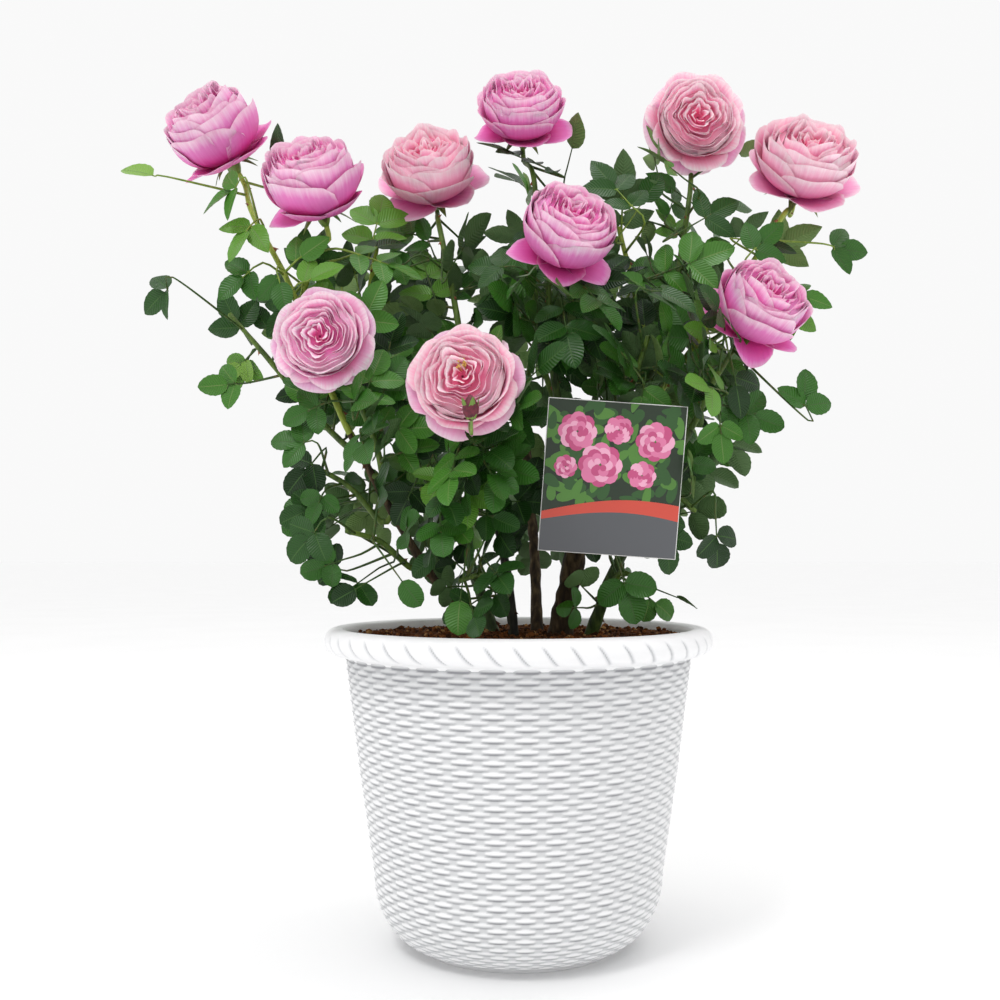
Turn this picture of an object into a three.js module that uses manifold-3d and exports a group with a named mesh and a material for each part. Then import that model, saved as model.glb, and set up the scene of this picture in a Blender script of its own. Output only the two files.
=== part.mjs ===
import * as THREE from "three";
import { mergeVertices } from "three/addons/utils/BufferGeometryUtils.js";
import Module from "manifold-3d";

const wasm = await Module();
wasm.setup();

// A double-flowered rose bush in its woven pot. Millimetres, +Z up, origin at the centre of the pot's
// underside. The side that is looked at faces -Y.

const GAP = 0.3;
const GOLDEN_ANGLE = 2.39996;

// Driving sizes of the pot and of the growing mix in it
const POT = {
  segments: 40,
  height: 257,
  rimRadius: 158,
  rimBottom: 236,
  rimInnerRadius: 139.5,
  wallTopRadius: 140.5,
  wallTop: 231,
  wallBulge: 1,
  curveRadius: 118,
  curveTop: 60,
  curveWidth: 42,
  curveHeight: 58,
  footRadius: 82,
  footHeight: 3,
  padRadius: 26,
  recessRadius: 72,
  recess: 2.5,
  wall: 3,
  floor: 5.5,
  drains: 4,
  drainRadius: 5,
  drainCircle: 48,
};
const SOIL_TOP = 250;

// Driving sizes of a leaf: a pair of leaflets where the leaf stalk ends, and an end leaflet on its own neck
const LEAF = {
  stalk: 20,
  stalkRadius: 0.7,
  rootSunk: 2,
  thickness: 1.6,
  shoulder: 1.6,
  neck: 13,
  pairTurn: 0.3,
  droop: 0.08,
};
const END_LEAFLET = { length: 54, width: 30, widest: 0.6 };
const PAIR_LEAFLET = { length: 37, width: 25, widest: 0.48 };
const TWIG = { rootRadius: 1.4, radius: 1.3 };
const STEM = { radius: 3, tipRadius: 2.2, step: 26 };
const LEAF_GAP = 0.5;
const OWN_SPACE_SLACK = { junction: 12, leaflet: 34 };
const SIDEWAYS_SHARE = 0.28;
const SEED = 7919;
const CROWN = { halfWidth: 280, halfDepth: 170, centre: [10, 0, 300] };
const LOWEST_OUTSIDE_POT = 272;
const CLEAR_VIEW = 130;

// Label card: width, height and thickness, its middle, its turn in its own plane and its lean
const CARD = {
  width: 105,
  height: 116,
  thickness: 1,
  at: [71, -78, 373],
  turn: 4,
  lean: 6,
  strapHeight: 9,
  strapThickness: 1,
  strapZ: 340,
};

const COLOURS = {
  pot: 0xe9eaec,
  soil: 0x4a2a18,
  woodyCane: 0x5b4a2c,
  greenCane: 0x3d4a22,
  darkCane: 0x2b3320,
  foliage: 0x2f5a2a,
  freshFoliage: 0x467a3a,
  deep: 0xd862a8,
  pale: 0xf0a9bd,
  rose: 0xe58fb9,
  card: 0x3f5a4a,
};

// Canes rise from the mix and boughs from the fork of the main cane: points along each limb's middle, its
// radius at the foot and at the tip, and the flare that a cane has where it leaves the mix.
const LIMBS = {
  cane_main: {
    points: [[35, 20, 0], [41, 14, 285], [47, 5, 318], [49, -3, 352], [48, -5, 378]],
    foot: 9.5, tip: 8, flare: 3.5, sides: 10, colour: "woodyCane",
  },
  cane_slant: {
    points: [[60, 6, 0], [67, -2, 272], [76, -10, 299], [105, -30, 359], [135, -40, 414]],
    foot: 5, tip: 3.2, flare: 1.2, sides: 6, colour: "greenCane",
  },
  cane_straight: {
    points: [[-4, -2, 0], [-8, -4, 290], [-18, -10, 348], [-31, -30, 407], [-43, -28, 452]],
    foot: 4, tip: 2.8, flare: 0.8, sides: 6, colour: "darkCane",
  },
  cane_left: {
    points: [[-36, -12, 0], [-50, -18, 272], [-75, -25, 307], [-105, -40, 359], [-131, -50, 410]],
    foot: 3.6, tip: 2.6, flare: 0.8, sides: 6, colour: "woodyCane",
  },
  cane_rear_left: {
    points: [[-22, 42, 0], [-42, 52, 310], [-76, 60, 400], [-112, 66, 470]],
    foot: 5, tip: 3.2, flare: 1.2, sides: 6, colour: "greenCane",
  },
  cane_rear: {
    points: [[16, 58, 0], [14, 82, 320], [8, 108, 400], [8, 124, 466]],
    foot: 5, tip: 3.2, flare: 1.2, sides: 6, colour: "woodyCane",
  },
  bough_centre: {
    fork: "cane_main", start: [-3.6, -3.2], points: [[34, -20, 425], [26, -32, 474]],
    foot: 3.6, tip: 3, flare: 0, sides: 6, colour: "greenCane",
  },
  bough_right: {
    fork: "cane_main", start: [4.2, -1.8], points: [[84, 6, 425], [118, 4, 480]],
    foot: 3.6, tip: 3, flare: 0, sides: 6, colour: "greenCane",
  },
  bough_rear: {
    fork: "cane_main", start: [-0.4, 4.6], points: [[62, 52, 430], [76, 96, 496]],
    foot: 3.4, tip: 2.8, flare: 0, sides: 6, colour: "greenCane",
  },
};

// Flower heads: middle, the way the head faces, diameter and how far it has opened
const BLOOMS = {
  bloom_far_left: { at: [-249, -10, 664], face: [-0.45, -0.3, 0.84], size: 82, open: 0.1, tone: "deep" },
  bloom_upper_left: { at: [-159, -60, 610], face: [-0.2, -0.35, 0.92], size: 80, open: 0.1, tone: "deep" },
  bloom_mid_left: { at: [-75, 15, 644], face: [-0.12, -0.62, 0.78], size: 86, open: 0.45, tone: "pale" },
  bloom_top: { at: [2, 0, 688], face: [-0.05, -0.6, 0.8], size: 76, open: 0.4, tone: "deep" },
  bloom_upper_right: { at: [150, 20, 688], face: [0.04, -0.95, 0.3], size: 80, open: 1, tone: "pale" },
  bloom_far_right: { at: [237, 0, 646], face: [0.12, -0.62, 0.78], size: 90, open: 0.45, tone: "pale" },
  bloom_centre: { at: [40, -80, 567], face: [0.32, -0.55, 0.77], size: 78, open: 0.2, tone: "deep" },
  bloom_lower_right: { at: [191, -55, 515], face: [0.4, -0.55, 0.73], size: 78, open: 0.2, tone: "deep" },
  bloom_lower_left: { at: [-146, -105, 482], face: [-0.08, -0.95, 0.3], size: 72, open: 1, tone: "rose" },
  bloom_front: { at: [-39, -150, 446], face: [-0.14, -0.9, 0.4], size: 76, open: 0.9, tone: "pale" },
  bloom_rear_left: { at: [-184, 142, 529], face: [-0.4, 0.65, 0.64], size: 76, open: 0.5, tone: "pale" },
  bloom_rear_centre: { at: [50, 172, 628], face: [0.05, 0.72, 0.69], size: 78, open: 0.8, tone: "rose" },
  bloom_rear_right: { at: [220, 98, 546], face: [0.6, 0.6, 0.53], size: 74, open: 0.3, tone: "deep" },
};

// Leafy shoots: the limb and the place along it that each stem leaves, the points it passes, the flower at its
// end, how far its leaves may lie from its stem, how many leaves it carries by rule, the furthest leaf tips of
// the crown's outline that it reaches, and a seed where its draw differs from the usual one.
// A bud beside the front head: it leaves that head's stem and turns up, its way given by points and radii
const BUD = {
  share: 0.9,
  way: [[-34, -150, 406], [-32, -166.5, 398.5], [-32, -175.5, 407.5]],
  step: 22,
  stalkRadius: 1.3,
  rings: [[3, 4.8], [8, 6], [13, 4.6], [16.5, 1.2]],
  axis: [-0.04, -0.06, 1],
  sides: 5,
};

const SHOOTS = [
  { name: "shoot_left_top", limb: "cane_left", at: 1,
    path: [[-158, -42, 470], [-182, -30, 530], [-212, -25, 587]], bloom: "bloom_far_left",
    fork: { at: 0.42, path: [[-156, -50, 556]], bloom: "bloom_upper_left" }, reach: 95, leaves: 6,
    tips: [[-317, -10, 623], [-204, 0, 690], [-250, -20, 584], [-130, -40, 562]] },
  { name: "shoot_left_bloom", limb: "cane_left", at: 0.8, path: [[-112, -66, 408], [-128, -76, 446]],
    bloom: "bloom_lower_left", reach: 85, leaves: 5, seed: 5, tips: [[-101, -80, 474]] },
  { name: "shoot_left_side", limb: "cane_left", at: 0.93,
    path: [[-168, -14, 432], [-206, -8, 478], [-236, -4, 512]], reach: 70, leaves: 4, seed: 2,
    tips: [[-300, 0, 506], [-256, -16, 548], [-223, -5, 439]] },
  { name: "shoot_left_middle", limb: "cane_left", at: 0.62, path: [[-132, -40, 368], [-158, -46, 384]],
    reach: 75, leaves: 5, seed: 9, tips: [[-198, -50, 345], [-200, -40, 404]] },
  { name: "shoot_left_low", limb: "cane_left", at: 0.4, path: [[-108, -48, 326], [-132, -66, 334]],
    reach: 75, leaves: 5, seed: 20, tips: [[-189, -60, 296], [-140, -80, 284]] },
  { name: "shoot_mid_left", limb: "cane_straight", at: 1, path: [[-50, -12, 510], [-66, 6, 590]],
    bloom: "bloom_mid_left", reach: 75, leaves: 7, tips: [[-30, 0, 596]] },
  { name: "shoot_front", limb: "cane_straight", at: 0.72, path: [[-34, -72, 400], [-36, -104, 412]],
    bloom: "bloom_front", reach: 80, leaves: 7, seed: 3, tips: [] },
  { name: "shoot_foot", limb: "cane_straight", at: 0.16, path: [[-26, -42, 300], [-44, -76, 296]],
    reach: 66, leaves: 5, seed: 19, tips: [[-47, -104, 259], [-84, -80, 304]] },
  { name: "shoot_front_low", limb: "cane_straight", at: 0.5, path: [[-46, -42, 352], [-74, -74, 366]],
    reach: 75, leaves: 7, seed: 3, tips: [] },
  { name: "shoot_centre", limb: "bough_centre", at: 1, path: [[24, -50, 505]],
    bloom: "bloom_centre", reach: 75, leaves: 7, seed: 3, tips: [[66, -60, 536]] },
  { name: "shoot_top", limb: "bough_centre", at: 0.62, path: [[14, 6, 500], [16, 12, 580], [12, 8, 630]],
    bloom: "bloom_top", reach: 75, leaves: 6, seed: 1, tips: [[56, 10, 682], [-32, 0, 660]] },
  { name: "shoot_top_right", limb: "bough_right", at: 0.8, path: [[100, 24, 520], [84, 22, 590]],
    reach: 75, leaves: 4, seed: 3, tips: [[88, 16, 657], [58, -10, 640], [122, 8, 634]] },
  { name: "shoot_upper_right", limb: "bough_right", at: 1, path: [[134, 15, 557], [146, 34, 630]],
    bloom: "bloom_upper_right", reach: 85, leaves: 6, seed: 3,
    tips: [[186, 10, 612], [112, 30, 640], [176, -14, 566]] },
  { name: "shoot_far_right", limb: "bough_right", at: 0.6,
    path: [[142, -2, 484], [190, 8, 552], [220, 6, 598]], bloom: "bloom_far_right", reach: 104,
    leaves: 6, seed: 6, tips: [[264, 10, 598], [250, -10, 560], [277, 0, 516]] },
  { name: "shoot_right", limb: "cane_slant", at: 1, path: [[152, -46, 450]],
    bloom: "bloom_lower_right", reach: 85, leaves: 6, seed: 6, tips: [[210, -40, 416], [222, -24, 470]] },
  { name: "shoot_right_low", limb: "cane_slant", at: 0.6, path: [[124, -32, 362], [140, -34, 350]],
    reach: 75, leaves: 5, seed: 6, tips: [[161, -35, 303], [168, -30, 356], [120, -50, 300]] },
  { name: "shoot_foot_right", limb: "cane_slant", at: 0.2, path: [[80, -30, 300], [88, -44, 300]],
    reach: 62, leaves: 3, seed: 18, tips: [[92, -56, 262]] },
  { name: "shoot_upper_left", limb: "cane_rear_left", at: 0.86, path: [[-128, 34, 500], [-118, 22, 580]],
    reach: 80, leaves: 6, seed: 2, tips: [[-112, 20, 622], [-146, 0, 574]] },
  { name: "shoot_rear_left", limb: "cane_rear_left", at: 1, path: [[-140, 96, 494]],
    bloom: "bloom_rear_left", reach: 90, leaves: 7, seed: 4, tips: [[-222, 100, 470], [-110, 150, 560]] },
  { name: "shoot_rear_left_low", limb: "cane_rear_left", at: 0.5, path: [[-92, 96, 370], [-124, 112, 392]],
    reach: 85, leaves: 5, seed: 4, tips: [[-180, 96, 350], [-110, 176, 370]] },
  { name: "shoot_rear_centre", limb: "cane_rear", at: 1, path: [[20, 136, 530]],
    bloom: "bloom_rear_centre", reach: 95, leaves: 7, seed: 1, tips: [[-30, 150, 620], [120, 150, 590]] },
  { name: "shoot_rear_low", limb: "cane_rear", at: 0.5, path: [[30, 132, 352], [44, 154, 376]],
    reach: 80, leaves: 6, seed: 1, tips: [[40, 206, 350]] },
  { name: "shoot_rear_right", limb: "bough_rear", at: 1, path: [[112, 112, 508], [166, 100, 506]],
    bloom: "bloom_rear_right", reach: 90, leaves: 6, tips: [[250, 90, 480], [150, 130, 580]] },
  { name: "shoot_right_back_low", limb: "bough_rear", at: 0.45, path: [[104, 70, 404], [138, 80, 404]],
    reach: 85, leaves: 6, seed: 6, tips: [[200, 84, 380]] },
  { name: "shoot_core_right", limb: "bough_right", at: 0.4, path: [[88, -40, 444], [100, -60, 484]],
    reach: 75, leaves: 6, seed: 9, tips: [[132, -70, 520]] },
];

// Vectors
const add = (a, b) => [a[0] + b[0], a[1] + b[1], a[2] + b[2]];
const sub = (a, b) => [a[0] - b[0], a[1] - b[1], a[2] - b[2]];
const scale = (a, s) => [a[0] * s, a[1] * s, a[2] * s];
const dot = (a, b) => a[0] * b[0] + a[1] * b[1] + a[2] * b[2];
const cross = (a, b) => [
  a[1] * b[2] - a[2] * b[1],
  a[2] * b[0] - a[0] * b[2],
  a[0] * b[1] - a[1] * b[0],
];
const length = (a) => Math.sqrt(dot(a, a));
const unit = (a) => scale(a, 1 / length(a));
const along = (a, d, s) => add(a, scale(d, s));
const mix = (a, b, t) => add(scale(a, 1 - t), scale(b, t));
const squareTo = (a, n) => unit(sub(a, scale(n, dot(a, n))));
const anySide = (d) => squareTo(Math.abs(d[2]) < 0.9 ? [0, 0, 1] : [1, 0, 0], d);

// A seeded stream of numbers from 0 to 1
function randomStream(seed) {
  let state = seed >>> 0;
  return () => {
    state = (Math.imul(state, 1664525) + 1013904223) >>> 0;
    return state / 4294967296;
  };
}

// A smooth line through the points, with a point about every step
function smoothLine(points, step) {
  const last = points.length - 1;
  const before = sub(scale(points[0], 2), points[1]);
  const after = sub(scale(points[last], 2), points[last - 1]);
  const all = [before, ...points, after];
  const line = [points[0]];
  for (let i = 0; i < last; i++) {
    const [a, b, c, d] = all.slice(i, i + 4);
    const count = Math.max(1, Math.round(length(sub(c, b)) / step));
    for (let k = 1; k <= count; k++) {
      const t = k / count;
      const bend = scale(add(sub(scale(a, 2), scale(b, 5)), sub(scale(c, 4), d)), t * t);
      const turn = scale(add(sub(scale(b, 3), a), sub(d, scale(c, 3))), t * t * t);
      const sum = add(add(scale(b, 2), scale(sub(c, a), t)), add(bend, turn));
      line.push(scale(sum, 0.5));
    }
  }
  return line;
}

// The place and direction at a share of a line's length
function pointOn(line, share) {
  const steps = line.slice(1).map((p, i) => length(sub(p, line[i])));
  const total = steps.reduce((a, b) => a + b, 0);
  let left = share * total;
  let i = 0;
  while (i < steps.length - 1 && left > steps[i]) {
    left -= steps[i];
    i++;
  }
  return {
    at: mix(line[i], line[i + 1], Math.min(1, left / steps[i])),
    direction: unit(sub(line[i + 1], line[i])),
    total,
  };
}

// Solids
function solidFrom(vertices, triangles) {
  const mesh = new wasm.Mesh({
    numProp: 3,
    vertProperties: new Float32Array(vertices.flat()),
    triVerts: new Uint32Array(triangles.flat()),
  });
  return new wasm.Manifold(mesh);
}

function solidFromGeometry(geometry) {
  geometry.deleteAttribute("normal");
  geometry.deleteAttribute("uv");
  const merged = mergeVertices(geometry, 1e-4);
  const mesh = new wasm.Mesh({
    numProp: 3,
    vertProperties: merged.attributes.position.array,
    triVerts: new Uint32Array(merged.index.array),
  });
  return new wasm.Manifold(mesh);
}

// A closed skin over rings of points that run anticlockwise, seen from the last ring
function loft(rings) {
  const count = rings[0].length;
  const last = (rings.length - 1) * count;
  const triangles = [];
  for (let k = 0; k < rings.length - 1; k++)
    for (let i = 0; i < count; i++) {
      const a = k * count + i;
      const b = k * count + ((i + 1) % count);
      triangles.push([a, b, b + count], [a, b + count, a + count]);
    }
  for (let i = 1; i < count - 1; i++) {
    triangles.push([0, i + 1, i], [last, last + i, last + i + 1]);
  }
  return solidFrom(rings.flat(), triangles);
}

function ringAround(centre, direction, side, radius, sides) {
  const other = cross(direction, side);
  return Array.from({ length: sides }, (_, i) => {
    const angle = (2 * Math.PI * i) / sides;
    return along(along(centre, side, radius * Math.cos(angle)), other, radius * Math.sin(angle));
  });
}

// A tapering limb or stem along a line, whose end cuts are square to the two directions where they are given
function taperedTube(line, radiusAt, sides, firstDirection, lastDirection) {
  const last = line.length - 1;
  let side = null;
  const rings = line.map((p, i) => {
    const given = i === 0 ? firstDirection : i === last ? lastDirection : null;
    const direction = given || unit(sub(line[Math.min(last, i + 1)], line[Math.max(0, i - 1)]));
    side = side ? squareTo(side, direction) : anySide(direction);
    return ringAround(p, direction, side, radiusAt(i / last), sides);
  });
  return loft(rings);
}

// A solid of revolution about the Z axis; its first and last rings are closed by flat faces
function turned(profile, segments) {
  return loft(profile.map(([r, z]) => ringAround([0, 0, z], [0, 0, 1], [1, 0, 0], r, segments)));
}

function joined(solids) {
  let parts = solids;
  while (parts.length > 1) {
    const next = [];
    for (let i = 0; i < parts.length; i += 2) {
      next.push(i + 1 < parts.length ? parts[i].add(parts[i + 1]) : parts[i]);
    }
    parts = next;
  }
  return parts[0];
}

const largestBody = (solid) =>
  solid.decompose().reduce((a, b) => (b.volume() > a.volume() ? b : a));

// Pot: flat foot ring round a flat middle pad, deep rounded lower edge, tapering wall and broad rolled rim
function potProfiles() {
  const p = POT;
  const outer = [[p.padRadius, 0], [p.padRadius + 2, p.recess], [p.recessRadius - 2, p.recess]];
  outer.push([p.recessRadius, 0], [p.footRadius, 0], [p.footRadius + 0.5, p.footHeight]);
  const centre = p.curveRadius - p.curveWidth;
  const first = Math.asin((p.curveTop - p.footHeight - 1) / p.curveHeight);
  const curve = (share) => {
    const angle = first * (1 - share);
    return [centre + p.curveWidth * Math.cos(angle), p.curveTop - p.curveHeight * Math.sin(angle)];
  };
  for (const share of [0, 0.28, 0.62, 1]) outer.push(curve(share));
  const middle = (p.curveTop + p.wallTop) / 2;
  outer.push([(p.curveRadius + p.wallTopRadius) / 2 + p.wallBulge, middle]);
  outer.push([p.wallTopRadius, p.wallTop]);
  const rim = [[146, p.rimBottom], [154.5, 239]];
  rim.push([p.rimRadius, 246.5], [154.5, 254], [147, p.height]);
  rim.push([p.rimInnerRadius, p.height - 2]);
  const inner = [[p.wallTopRadius - p.wall, p.wallTop + 18], [p.curveRadius - p.wall, p.curveTop]];
  inner.push([centre + 0.72 * (p.curveWidth - p.wall), p.curveTop - 0.66 * (p.curveTop - p.floor)]);
  inner.push([p.footRadius, p.floor]);
  return { outer: [...outer, ...rim], inner };
}

function makePot() {
  const { outer, inner } = potProfiles();
  let pot = turned([...outer, ...inner], POT.segments);
  for (let i = 0; i < POT.drains; i++) {
    const angle = (2 * Math.PI * (i + 0.5)) / POT.drains;
    const hole = new THREE.CylinderGeometry(POT.drainRadius, POT.drainRadius, 20, 10);
    hole.rotateX(Math.PI / 2);
    hole.translate(POT.drainCircle * Math.cos(angle), POT.drainCircle * Math.sin(angle), POT.floor);
    pot = pot.subtract(solidFromGeometry(hole));
  }
  return pot;
}

function makeSoil() {
  const { inner } = potProfiles();
  const clear = inner.map(([r, z], i) => [r - 1.2 * GAP, i === inner.length - 1 ? z + GAP : z]);
  const [top, ...rest] = clear;
  return turned([...rest.reverse(), [top[0], SOIL_TOP]], POT.segments);
}

// Limbs
const limbLines = {};

function limbLine(name) {
  const limb = LIMBS[name];
  if (limb.fork) {
    const trunk = limbLines[limb.fork];
    const top = trunk[trunk.length - 1];
    const start = add(top, [limb.start[0], limb.start[1], GAP]);
    const rise = add(start, [limb.start[0] * 0.6, limb.start[1] * 0.6, 10]);
    return smoothLine([start, rise, ...limb.points], 26);
  }
  const [foot, ...rest] = limb.points;
  return smoothLine([[foot[0], foot[1], SOIL_TOP + GAP], ...rest], 24);
}

function makeLimb(name) {
  const limb = LIMBS[name];
  const radiusAt = (t) => limb.foot + (limb.tip - limb.foot) * t + limb.flare * Math.exp(-t * 14);
  const forks = Object.values(LIMBS).some((other) => other.fork === name);
  return taperedTube(limbLines[name], radiusAt, limb.sides, [0, 0, 1], forks ? [0, 0, 1] : null);
}

for (const name of Object.keys(LIMBS)) limbLines[name] = limbLine(name);

const limbRadius = (name, share) => {
  const limb = LIMBS[name];
  return limb.foot + (limb.tip - limb.foot) * share;
};

// Flower heads. Each is a nest of petal rings: radius, height, wave of the rim and turn of each ring, all as
// shares of the head's diameter, for a half closed cup and for an open rosette.
const PETAL_LOBES = 3;
const HEAD_POINTS = 12;
const CUP_RINGS = [
  [0.06, 0, 0, 0], [0.085, 0.07, 0, 0], [0.28, 0.13, 0.02, 0], [0.43, 0.27, 0.04, 0], [0.5, 0.48, 0.05, 0.4],
  [0.39, 0.5, 0.02, 1], [0.36, 0.65, 0.05, 2], [0.25, 0.63, 0.02, 3], [0.22, 0.76, 0.05, 4],
  [0.1, 0.7, 0, 5],
];
const ROSETTE_RINGS = [
  [0.06, 0, 0, 0], [0.085, 0.07, 0, 0], [0.3, 0.11, 0.02, 0], [0.46, 0.22, 0.03, 0], [0.5, 0.37, 0.04, 0.4],
  [0.4, 0.37, 0.02, 1], [0.37, 0.48, 0.05, 2], [0.26, 0.43, 0.02, 3], [0.23, 0.53, 0.05, 4],
  [0.1, 0.45, 0, 5],
];
const HEAD_MIDDLE = 0.36;

function bloomFrame(bloom) {
  const direction = unit(bloom.face);
  const side = anySide(direction);
  const base = along(bloom.at, direction, -HEAD_MIDDLE * bloom.size);
  return { direction, side, other: cross(direction, side), base };
}

function makeBloom(bloom) {
  const { direction, side, other, base } = bloomFrame(bloom);
  const rings = CUP_RINGS.map((cup, k) => {
    const rosette = ROSETTE_RINGS[k];
    const [radius, height, wave, turn] = cup.map((v, j) => v + (rosette[j] - v) * bloom.open);
    return Array.from({ length: HEAD_POINTS }, (_, i) => {
      const angle = (2 * Math.PI * i) / HEAD_POINTS;
      const lobe = Math.cos(PETAL_LOBES * angle + turn);
      const r = bloom.size * (radius - wave * 0.5 * (1 - lobe));
      const h = bloom.size * (height + wave * 0.5 * lobe);
      const level = along(base, direction, h);
      return along(along(level, side, r * Math.cos(angle)), other, r * Math.sin(angle));
    });
  });
  return loft(rings);
}

// Clearance between convex pieces: each piece is a few points, padded by a radius, with the directions that
// can part it from another.
function piece(points, pad, normals, edges) {
  const middle = scale(points.reduce(add), 1 / points.length);
  const around = Math.max(...points.map((p) => length(sub(p, middle)))) + pad;
  return { points, pad, normals, edges, middle, around };
}

const rod = (a, b, radius) => piece([a, b], radius, [], [unit(sub(b, a))]);
const ball = (centre, radius) => piece([centre], radius, [], []);

function slab(corners, pad, depth) {
  const normal = unit(cross(sub(corners[1], corners[0]), sub(corners[2], corners[0])));
  const edges = [unit(sub(corners[1], corners[0])), unit(sub(corners[2], corners[1]))];
  const points = depth ? [...corners, ...corners.map((p) => add(p, depth))] : corners;
  return piece(points, pad, [normal, ...edges], depth ? [...edges, unit(depth)] : edges);
}

function partedAlong(a, b, axis, gap) {
  const n = length(axis);
  if (n < 1e-9) return false;
  const onA = a.points.map((p) => dot(p, axis) / n);
  const onB = b.points.map((p) => dot(p, axis) / n);
  const reach = a.pad + b.pad + gap;
  return Math.min(...onB) - Math.max(...onA) > reach || Math.min(...onA) - Math.max(...onB) > reach;
}

function apart(a, b, gap) {
  if (length(sub(a.middle, b.middle)) > a.around + b.around + gap) return true;
  for (const axis of a.normals) if (partedAlong(a, b, axis, gap)) return true;
  for (const axis of b.normals) if (partedAlong(a, b, axis, gap)) return true;
  for (const e of a.edges)
    for (const f of b.edges) if (partedAlong(a, b, cross(e, f), gap)) return true;
  for (const p of a.points)
    for (const q of b.points) if (partedAlong(a, b, sub(p, q), gap)) return true;
  return false;
}

function distanceToLine(p, line) {
  let least = Infinity;
  for (let i = 0; i < line.length - 1; i++) {
    const edge = sub(line[i + 1], line[i]);
    const t = Math.min(1, Math.max(0, dot(sub(p, line[i]), edge) / dot(edge, edge)));
    least = Math.min(least, length(sub(p, along(line[i], edge, t))));
  }
  return least;
}

// Everything placed so far: limbs, flower heads, the card and the open space in front of them, then twigs
// and leaves as they grow.
const placed = [];

function cardCorners(inset) {
  const turn = (-CARD.turn * Math.PI) / 180;
  const lean = (CARD.lean * Math.PI) / 180;
  const across = [Math.cos(turn), 0, Math.sin(turn)];
  const up = unit([-Math.sin(turn), -Math.sin(lean), Math.cos(turn) * Math.cos(lean)]);
  const w = CARD.width / 2 - inset;
  const h = CARD.height / 2 - inset;
  return [[-w, -h], [w, -h], [w, h], [-w, h]].map(([x, z]) => along(along(CARD.at, across, x), up, z));
}

// The depth of the card's front face at a place on it
function cardDepthAt(x, z) {
  const [a, b, , d] = cardCorners(0);
  const normal = cross(sub(b, a), sub(d, a));
  return a[1] - (normal[0] * (x - a[0]) + normal[2] * (z - a[2])) / normal[1];
}

function placeFixedPieces() {
  for (const [name, line] of Object.entries(limbLines)) {
    for (let i = 0; i < line.length - 1; i++) {
      const flare = LIMBS[name].flare * Math.exp((-i * 14) / line.length);
      const pad = limbRadius(name, i / (line.length - 1)) + flare;
      placed.push(rod(line[i], line[i + 1], pad));
    }
  }
  for (const bloom of Object.values(BLOOMS)) {
    const direction = unit(bloom.face);
    const open = bloom.open;
    placed.push(ball(along(bloom.at, direction, bloom.size * 0.06), bloom.size * (0.5 - 0.02 * open)));
    if (bloom.face[1] < 0) {
      const front = along(bloom.at, [0, -1, 0], 1);
      placed.push(rod(front, add(front, [0, -CLEAR_VIEW, 0]), bloom.size * 0.4));
    }
  }
  placed.push(slab(cardCorners(4), 3, [0, -CLEAR_VIEW, 0]));
  placed.push(slab(cardCorners(0), 2, [0, 1.5, 0]));
  const strapEnd = pointOn(limbLines.cane_main, strapShare()).at;
  placed.push(rod([strapEnd[0], CARD.at[1], CARD.strapZ], [strapEnd[0], strapEnd[1], CARD.strapZ], 8));
}

function strapShare() {
  const line = limbLines.cane_main;
  let best = 0;
  for (let i = 0; i <= 200; i++) {
    const share = i / 200;
    if (pointOn(line, share).at[2] < CARD.strapZ) best = share;
  }
  return best;
}

function clearOfPot(p) {
  const out = Math.hypot(p[0], p[1]);
  if (out < POT.rimInnerRadius - 4) return p[2] > SOIL_TOP + 2;
  return p[2] > (out < POT.rimRadius ? POT.height + 2 : LOWEST_OUTSIDE_POT);
}

// Stems: the line of a shoot from its limb to its flower, and the fork that carries a second flower
function stemPoints(start, direction, path, bloomName) {
  const points = [start, along(start, direction, 9), ...path];
  if (bloomName) {
    const bloom = BLOOMS[bloomName];
    const frame = bloomFrame(bloom);
    points.push(along(frame.base, frame.direction, -22), along(frame.base, frame.direction, -GAP));
  }
  return points;
}

function shootStems(shoot) {
  const line = limbLines[shoot.limb];
  const { at, direction } = pointOn(line, shoot.at);
  let leave = direction;
  let start = along(at, direction, GAP);
  if (shoot.at < 1) {
    leave = squareTo(sub(shoot.path[0], at), direction);
    start = along(at, leave, limbRadius(shoot.limb, shoot.at) + GAP);
  }
  const leader = smoothLine(stemPoints(start, leave, shoot.path, shoot.bloom), STEM.step);
  const stems = [{ line: leader, radius: STEM.radius, first: leave }];
  if (shoot.fork) {
    const from = pointOn(leader, shoot.fork.at);
    const away = unit(sub(shoot.fork.path[0], from.at));
    const side = smoothLine(stemPoints(from.at, away, shoot.fork.path, shoot.fork.bloom), STEM.step);
    stems.push({ line: side, radius: STEM.radius - 0.4, first: away });
  }
  return stems;
}

// A leaf: the line of its stalk, and three leaflets that share its end
function leaflet(junction, direction, face, form, size) {
  const across = cross(direction, face);
  const middle = along(junction, direction, form.length * form.widest * size);
  const tip = along(along(junction, direction, form.length * size), face, -LEAF.droop * form.length * size);
  const half = (form.width * size) / 2;
  return { root: junction, right: along(middle, across, half), tip, left: along(middle, across, -half) };
}

function leafParts(line, direction, face, size) {
  const across = cross(direction, face);
  const junction = along(line[line.length - 1], direction, LEAF.stalk * size);
  const [right, left] = [1, -1].map((turn) => {
    const out = unit(along(scale(direction, LEAF.pairTurn), across, turn));
    return leaflet(junction, out, face, PAIR_LEAFLET, size);
  });
  const end = leaflet(junction, direction, face, END_LEAFLET, size);
  return { line: [...line, junction], direction, face, size, blades: [right, end, left] };
}

const bladePiece = (b) => slab([b.root, b.right, b.tip, b.left], LEAF.thickness / 2, null);

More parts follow.
